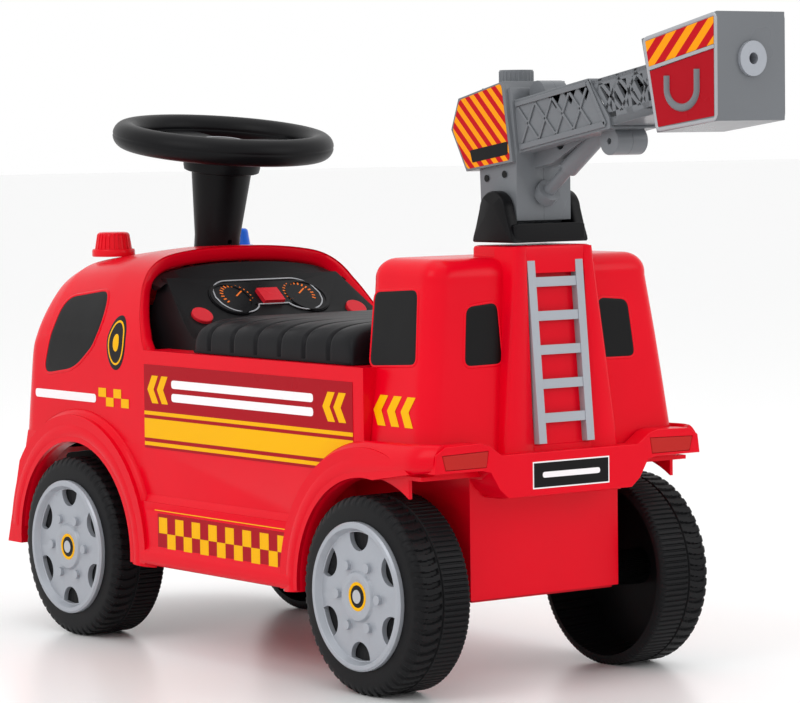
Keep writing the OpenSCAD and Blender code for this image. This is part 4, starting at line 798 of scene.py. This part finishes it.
domeShape = {"half": 36.4, "depth": 24, "foot": 327.2, "arc": 15.5, "arcZ": 349.5, "middle": 31}


def domeLobe():
    # side outline (round head on spreading flanks) filled towards its middle on both faces, edges drawn in
    a = np.linspace(0.12, math.pi - 0.12, 25)
    head = np.stack([domeShape["middle"] + domeShape["arc"] * np.cos(a),
        domeShape["arcZ"] + domeShape["arc"] * np.sin(a)], 1)
    left, right = domeShape["middle"] - domeShape["depth"], domeShape["middle"] + domeShape["depth"]
    outline = np.vstack([head, [(left + 4, 338), (left + 0.6, 330), (left, domeShape["foot"]),
        (right, domeShape["foot"]), (right - 0.6, 330), (right - 4, 338)]])
    middle = outline.mean(0)
    s = np.array([0.05, 0.88, 0.96, 1, 1, 0.97, 0.92, 0.05])[:, None]
    x = domeShape["half"] + np.array([0, 0, -0.7, -2.6, -8.4, -9.4, -9.8, -9.8])[:, None]
    u = middle[0] + s * (outline[None, :, 0] - middle[0])
    v = middle[1] + s * (outline[None, :, 1] - middle[1])
    n = len(outline)
    return points(x + 0 * u, u, v), gridFaces(8, n, False, True).tolist() + [list(range(n)),
        list(range(8 * n - 1, 7 * n - 1, -1))]


def domeWall(y0, y1, top):
    # a block across the turret whose outline draws in towards its top
    outline = roundedCorners([(-33, y0), (33, y0), (33, y1), (-33, y1)], 1.5, 4)
    middle = outline.mean(0)
    level = np.array([(domeShape["foot"], 0), (top - 1.5, 0), (top - 0.4, 0.4), (top, 1.5)])
    ring = middle + (outline[None] - middle) * (1 - level[:, 1] / 12)[:, None, None]
    n = len(outline)
    return points(ring[:, :, 0], ring[:, :, 1], level[:, :1] + 0 * ring[:, :, 0]), gridFaces(4, n, False,
        True).tolist() + [list(range(n)), list(range(3 * n, 4 * n))]


buildPiece("domeLobes", [domeLobe()], blackPlastic, "turret", mirrorX=True, angle=35)
domeParts = [domeWall(8, 54, 332.5), domeWall(50.4, 54.6, 341)]
buildPiece("domeBase", domeParts, blackPlastic, "turret", ("turret_dome",), angle=35)


def turned(profile, place, count=72, ripple=lambda a, r: r):
    # (radius, height) profile turned round an axis; place(p, q, h) gives the spot beside and along it
    r, h = np.asarray(profile, float).T
    a = np.linspace(0, 2 * math.pi, count, endpoint=False)[:, None]
    r = ripple(a, r[None, :] + 0 * a)
    grid = place(r * np.cos(a), r * np.sin(a), h[None, :] + 0 * a)
    ends = [list(range(k, count * len(h), len(h))) for k in (0, len(h) - 1)]
    return grid, gridFaces(count, len(h), True, False).tolist() + ends


def boxOf(node):
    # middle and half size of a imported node, in millimetres from the rear axle line
    low, high = (np.array(v) * 1000 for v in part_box(node))
    return (low + high) / 2 - [0, axleY, 0], (high - low) / 2


nozzleMid, nozzleHalf = boxOf("nozzle")
nozzleFace = lambda x, z, h: points(nozzleMid[0] + x, nozzleMid[1] + nozzleHalf[1] - 0.3 + h, nozzleMid[2] + z)
buildPiece("nozzleRings", [rimOn(circleOf(nozzleHalf[0] - 0.9), nozzleFace, 1.6, 0.5),
    rimOn(circleOf(nozzleHalf[0] * 0.42), nozzleFace, 1.4, 0.5)], blackPlastic, "crane", angle=30)
print("crane dressed")

# steering wheel and beacons

wheelLean = math.radians(8)
rimShape = {"radius": 81, "tube": 11, "seam": 0.5, "spoke": 0.3, "spokeHub": 34}
rimMid, rimHalf = boxOf("steering_wheel")
rimZ = rimMid[2] + rimHalf[2] - rimShape["radius"] * math.sin(wheelLean) - rimShape["tube"]
padHalf = boxOf("horn_pad")[1]


def wheelPlace(p, q, h):
    # q runs back across the leaning wheel, h up its axis
    return points(p, rimMid[1] + q * math.cos(wheelLean) + h * math.sin(wheelLean),
        rimZ - q * math.sin(wheelLean) + h * math.cos(wheelLean))


def rimSkin():
    # circle of tube radius carried round the rim; a narrow seam runs along its inner and outer middle
    a = np.linspace(0, 2 * math.pi, 160, endpoint=False)[:, None]
    b = np.linspace(0, 2 * math.pi, 96, endpoint=False)[None, :]
    r = rimShape["tube"] - rimShape["seam"] * (np.exp(-(np.sin(b) / 0.07) ** 2))
    ring = rimShape["radius"] + r * np.cos(b)
    return wheelPlace(ring * np.cos(a), ring * np.sin(a), r * np.sin(b)), gridFaces(160, 96, True, True).tolist()


def spokeSkin():
    # polar outline: hub radius plus a broad bell of reach round each of the three arms
    a = np.linspace(0, 2 * math.pi, 240, endpoint=False)
    away = np.stack([np.angle(np.exp(1j * (a - c))) for c in (0, math.pi, -math.pi / 2)])
    reach = np.exp(-(away / rimShape["spoke"]) ** 4).max(0)
    r = rimShape["spokeHub"] + (rimShape["radius"] - 2 - rimShape["spokeHub"]) * reach
    return paneOn(np.stack([r * np.cos(a), r * np.sin(a)], 1), wheelPlace, -1.5, 8.5, 12)


bowl = [(30, -26), (31.2, -25.4), (32, -22), (padHalf[0] + 6, -15), (padHalf[0] + 9.5, -12), (padHalf[0] + 10, -8),
    (padHalf[0] + 9, -5.4), (padHalf[0] + 1.5, -3.5), (padHalf[0] + 0.3, -4.2), (padHalf[0] + 0.3, -8)]
buildPiece("steeringWheelSkin", [rimSkin(), spokeSkin(), turned(bowl, wheelPlace)], blackPlastic,
    nodes["steering_wheel"]["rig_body"], ("steering_wheel",), angle=45)
padTop = lambda p, q, h: wheelPlace(p, q, h + 0.9)
buildPiece("wheelCentreRing", [rimOn(circleOf(padHalf[0] - 11), padTop, 1.6, 0.5)], silverGrey,
    nodes["horn_pad"]["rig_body"], angle=30)


def beaconSkin(node, ribs, depth):
    # wide foot ring, then a lens that narrows upwards; ribs are a wave of the angle on the lens alone
    mid, half = boxOf(node)
    r0, z0, tall = half[0], mid[2] - half[2], 2 * half[2]
    profile = [(r0 * 0.98, z0), (r0, z0 + 0.8), (r0, z0 + tall * 0.24), (r0 * 0.97, z0 + tall * 0.3),
        (r0 * 0.86, z0 + tall * 0.32)]
    profile += [(r0 * (0.86 - 0.1 * k), z0 + tall * (0.33 + 0.55 * k)) for k in np.linspace(0, 1, 8)]
    profile += [(r0 * 0.73, z0 + tall * 0.94), (r0 * 0.66, z0 + tall * 0.985), (r0 * 0.55, z0 + tall)]
    wave = lambda a, r: r - depth * (np.sin(ribs * a) > 0) * (r < r0 * 0.87) * (r > r0 * 0.74)
    return turned(profile, lambda p, q, h: points(mid[0] + p, mid[1] + q, h), 288, wave)


buildPiece("redBeaconSkin", [beaconSkin("beacon_red", 24, 0.8)], beaconRed, "chassis", ("beacon_red",), angle=35)
buildPiece("blueBeaconSkin", [beaconSkin("beacon_blue", 24, 0.0)], beaconBlue, "chassis", ("beacon_blue",), angle=35)
print("steering wheel and beacons made")

# dashboard print

dashA = math.radians(37.3)
dashFace = lambda u, v, h: points(u, -305.5 + v * math.cos(dashA) + (h + 1.0) * math.sin(dashA),
    270.5 - v * math.sin(dashA) + (h + 1.0) * math.cos(dashA))
dialShape = {"apart": 37, "radius": 24, "height": -7, "bridge": 18, "bridgeHeight": 6, "scale": 0.84, "shift": -4}


def dialOutline():
    # two circles side by side: their outer and lower arcs, a straight line over the top, a low bridge between
    x = np.linspace(-dialShape["apart"] - dialShape["radius"], dialShape["apart"] + dialShape["radius"], 60)
    away = (np.abs(x) - dialShape["apart"]) / dialShape["radius"]
    reach = dialShape["radius"] * np.sqrt(np.maximum(0, 1 - away ** 2))
    top = dialShape["height"] - dialShape["radius"]
    above = np.where(np.abs(x) > dialShape["apart"], dialShape["height"] - reach, top)
    below = np.where(np.abs(x) > dialShape["bridge"], dialShape["height"] + reach, dialShape["bridgeHeight"])
    outline = np.vstack([np.stack([x, above], 1), np.stack([x, below], 1)[::-1]])
    return outline * dialShape["scale"] + [0, dialShape["shift"]]


def dialMark(side, angle, inner, outer, width):
    # one printed line that points away from a dial's middle
    middle = np.array([side * 31, -10])
    way = np.array([math.cos(angle), math.sin(angle)])
    return bar(middle + inner * way, middle + outer * way, width)


buildPiece("gaugeOutline", [rimOn(dialOutline(), dashFace, 1.4, 0.7)], silverGrey, "chassis")
tickAngles = np.radians(np.arange(150, 391, 16))
tickSet = [dialMark(side, t, 11.5, 14.5, 1.3) for side in (-1, 1) for t in tickAngles]
needles = [bar((side * 31, -10), (side * 31 - 8, -16), 1.2) for side in (-1, 1)]
buildPiece("dialTicks", [plateOn(o, dashFace, 0.15) for o in tickSet + needles], orangePrint, "chassis")


def cowlSkin():
    # black infill between the dashboard's top edge and the hoop: its upper edge follows the cab section
    curve = smoothLine(cabShape["section"], 200)
    x = np.linspace(-92, 92, 47)[:, None]
    top = np.interp(-np.abs(x), -curve[:, 0], curve[:, 1]) - 13.5
    low = np.minimum(289 + 0 * x, top - 3)
    y = np.hstack([-331 + 0 * x, -346 + 0 * x, -354 + 0 * x, -340 + 0 * x])
    z = np.hstack([low, top, top, low - 3])
    return points(x, y, z), gridFaces(47, 4, False, True).tolist() + [[0, 1, 2, 3], [184, 185, 186, 187]]


buildPiece("dashCowl", [cowlSkin()], blackPlastic, "chassis", angle=30)


def dashLamp(u, v):
    # a small domed lamp turned about its own middle
    profile = [(2.6, 0), (2.6, 0.8), (1.9, 1.7), (0.8, 2.1), (0.1, 2.15)]
    return turned(profile, lambda p, q, h: dashFace(u + p, v + q, h), 24)


buildPiece("dashLamps", [dashLamp(u, 22) for u in (-8, 0, 8)], clearLens, "chassis", angle=40)
print("dashboard printed")

# floor, lights and camera

floorMesh = bpy.data.meshes.new("studioFloor")
floorMesh.from_pydata([(-30, -30, 0), (30, -30, 0), (30, 30, 0), (-30, 30, 0)], [], [(0, 1, 2, 3)])
floor = bpy.data.objects.new("studioFloor", floorMesh)
bpy.context.scene.collection.objects.link(floor)
floorLook, _, floorShader = newMaterial("paleStudioFloor")
floorShader.inputs["Base Color"].default_value = (0.9, 0.9, 0.9, 1)
floorShader.inputs["Roughness"].default_value = 0.28
floorMesh.materials.append(floorLook)

world = bpy.data.worlds.new("studio")
world.use_nodes = True
world.node_tree.nodes["Background"].inputs["Color"].default_value = (1, 1, 1, 1)
world.node_tree.nodes["Background"].inputs["Strength"].default_value = 1.0
bpy.context.scene.world = world


def softLight(name, place, target, size, power):
    data = bpy.data.lights.new(name, "AREA")
    data.shape = "RECTANGLE"
    data.size, data.size_y = size
    data.energy = power
    lamp = bpy.data.objects.new(name, data)
    bpy.context.scene.collection.objects.link(lamp)
    lamp.location = place
    lamp.rotation_euler = (Vector(target) - Vector(place)).to_track_quat("-Z", "Y").to_euler()


# name: place, target, size (metres) and power (watts)
studioLights = {
    "keyLight": ((2.6, 0.4, 2.4), (0, 0, 0.2), (1.8, 1.8), 26),
    "backLight": ((-1.8, 2.6, 1.8), (0, 0, 0.25), (1.6, 1.6), 16),
    "topLight": ((0, 0, 3.2), (0, 0, 0), (2.4, 2.4), 14),
}
for lightName, settings in studioLights.items():
    softLight(lightName, *settings)

cameraSetup = {"place": (1.57896, 2.14272, 0.4088), "azimuth": 143.48, "elevation": 3.67, "roll": -0.72,
    "lens": 153.97}
a, e = math.radians(cameraSetup["azimuth"]), math.radians(cameraSetup["elevation"])
roll = math.radians(cameraSetup["roll"])
back = Vector((math.sin(a) * math.cos(e), -math.cos(a) * math.cos(e), math.sin(e)))
right = Vector((math.cos(a), math.sin(a), 0))
up = back.cross(right)
right, up = right * math.cos(roll) + up * math.sin(roll), -right * math.sin(roll) + up * math.cos(roll)
camera = bpy.data.objects.new("camera", bpy.data.cameras.new("camera"))
bpy.context.scene.collection.objects.link(camera)
turn = Matrix((right, up, back)).transposed().to_4x4()
camera.matrix_world = Matrix.Translation(cameraSetup["place"]) @ turn
camera.data.lens = cameraSetup["lens"]
camera.data.sensor_width = 36
bpy.context.scene.camera = camera
bpy.context.scene.view_settings.view_transform = "Standard"
print("stage set")
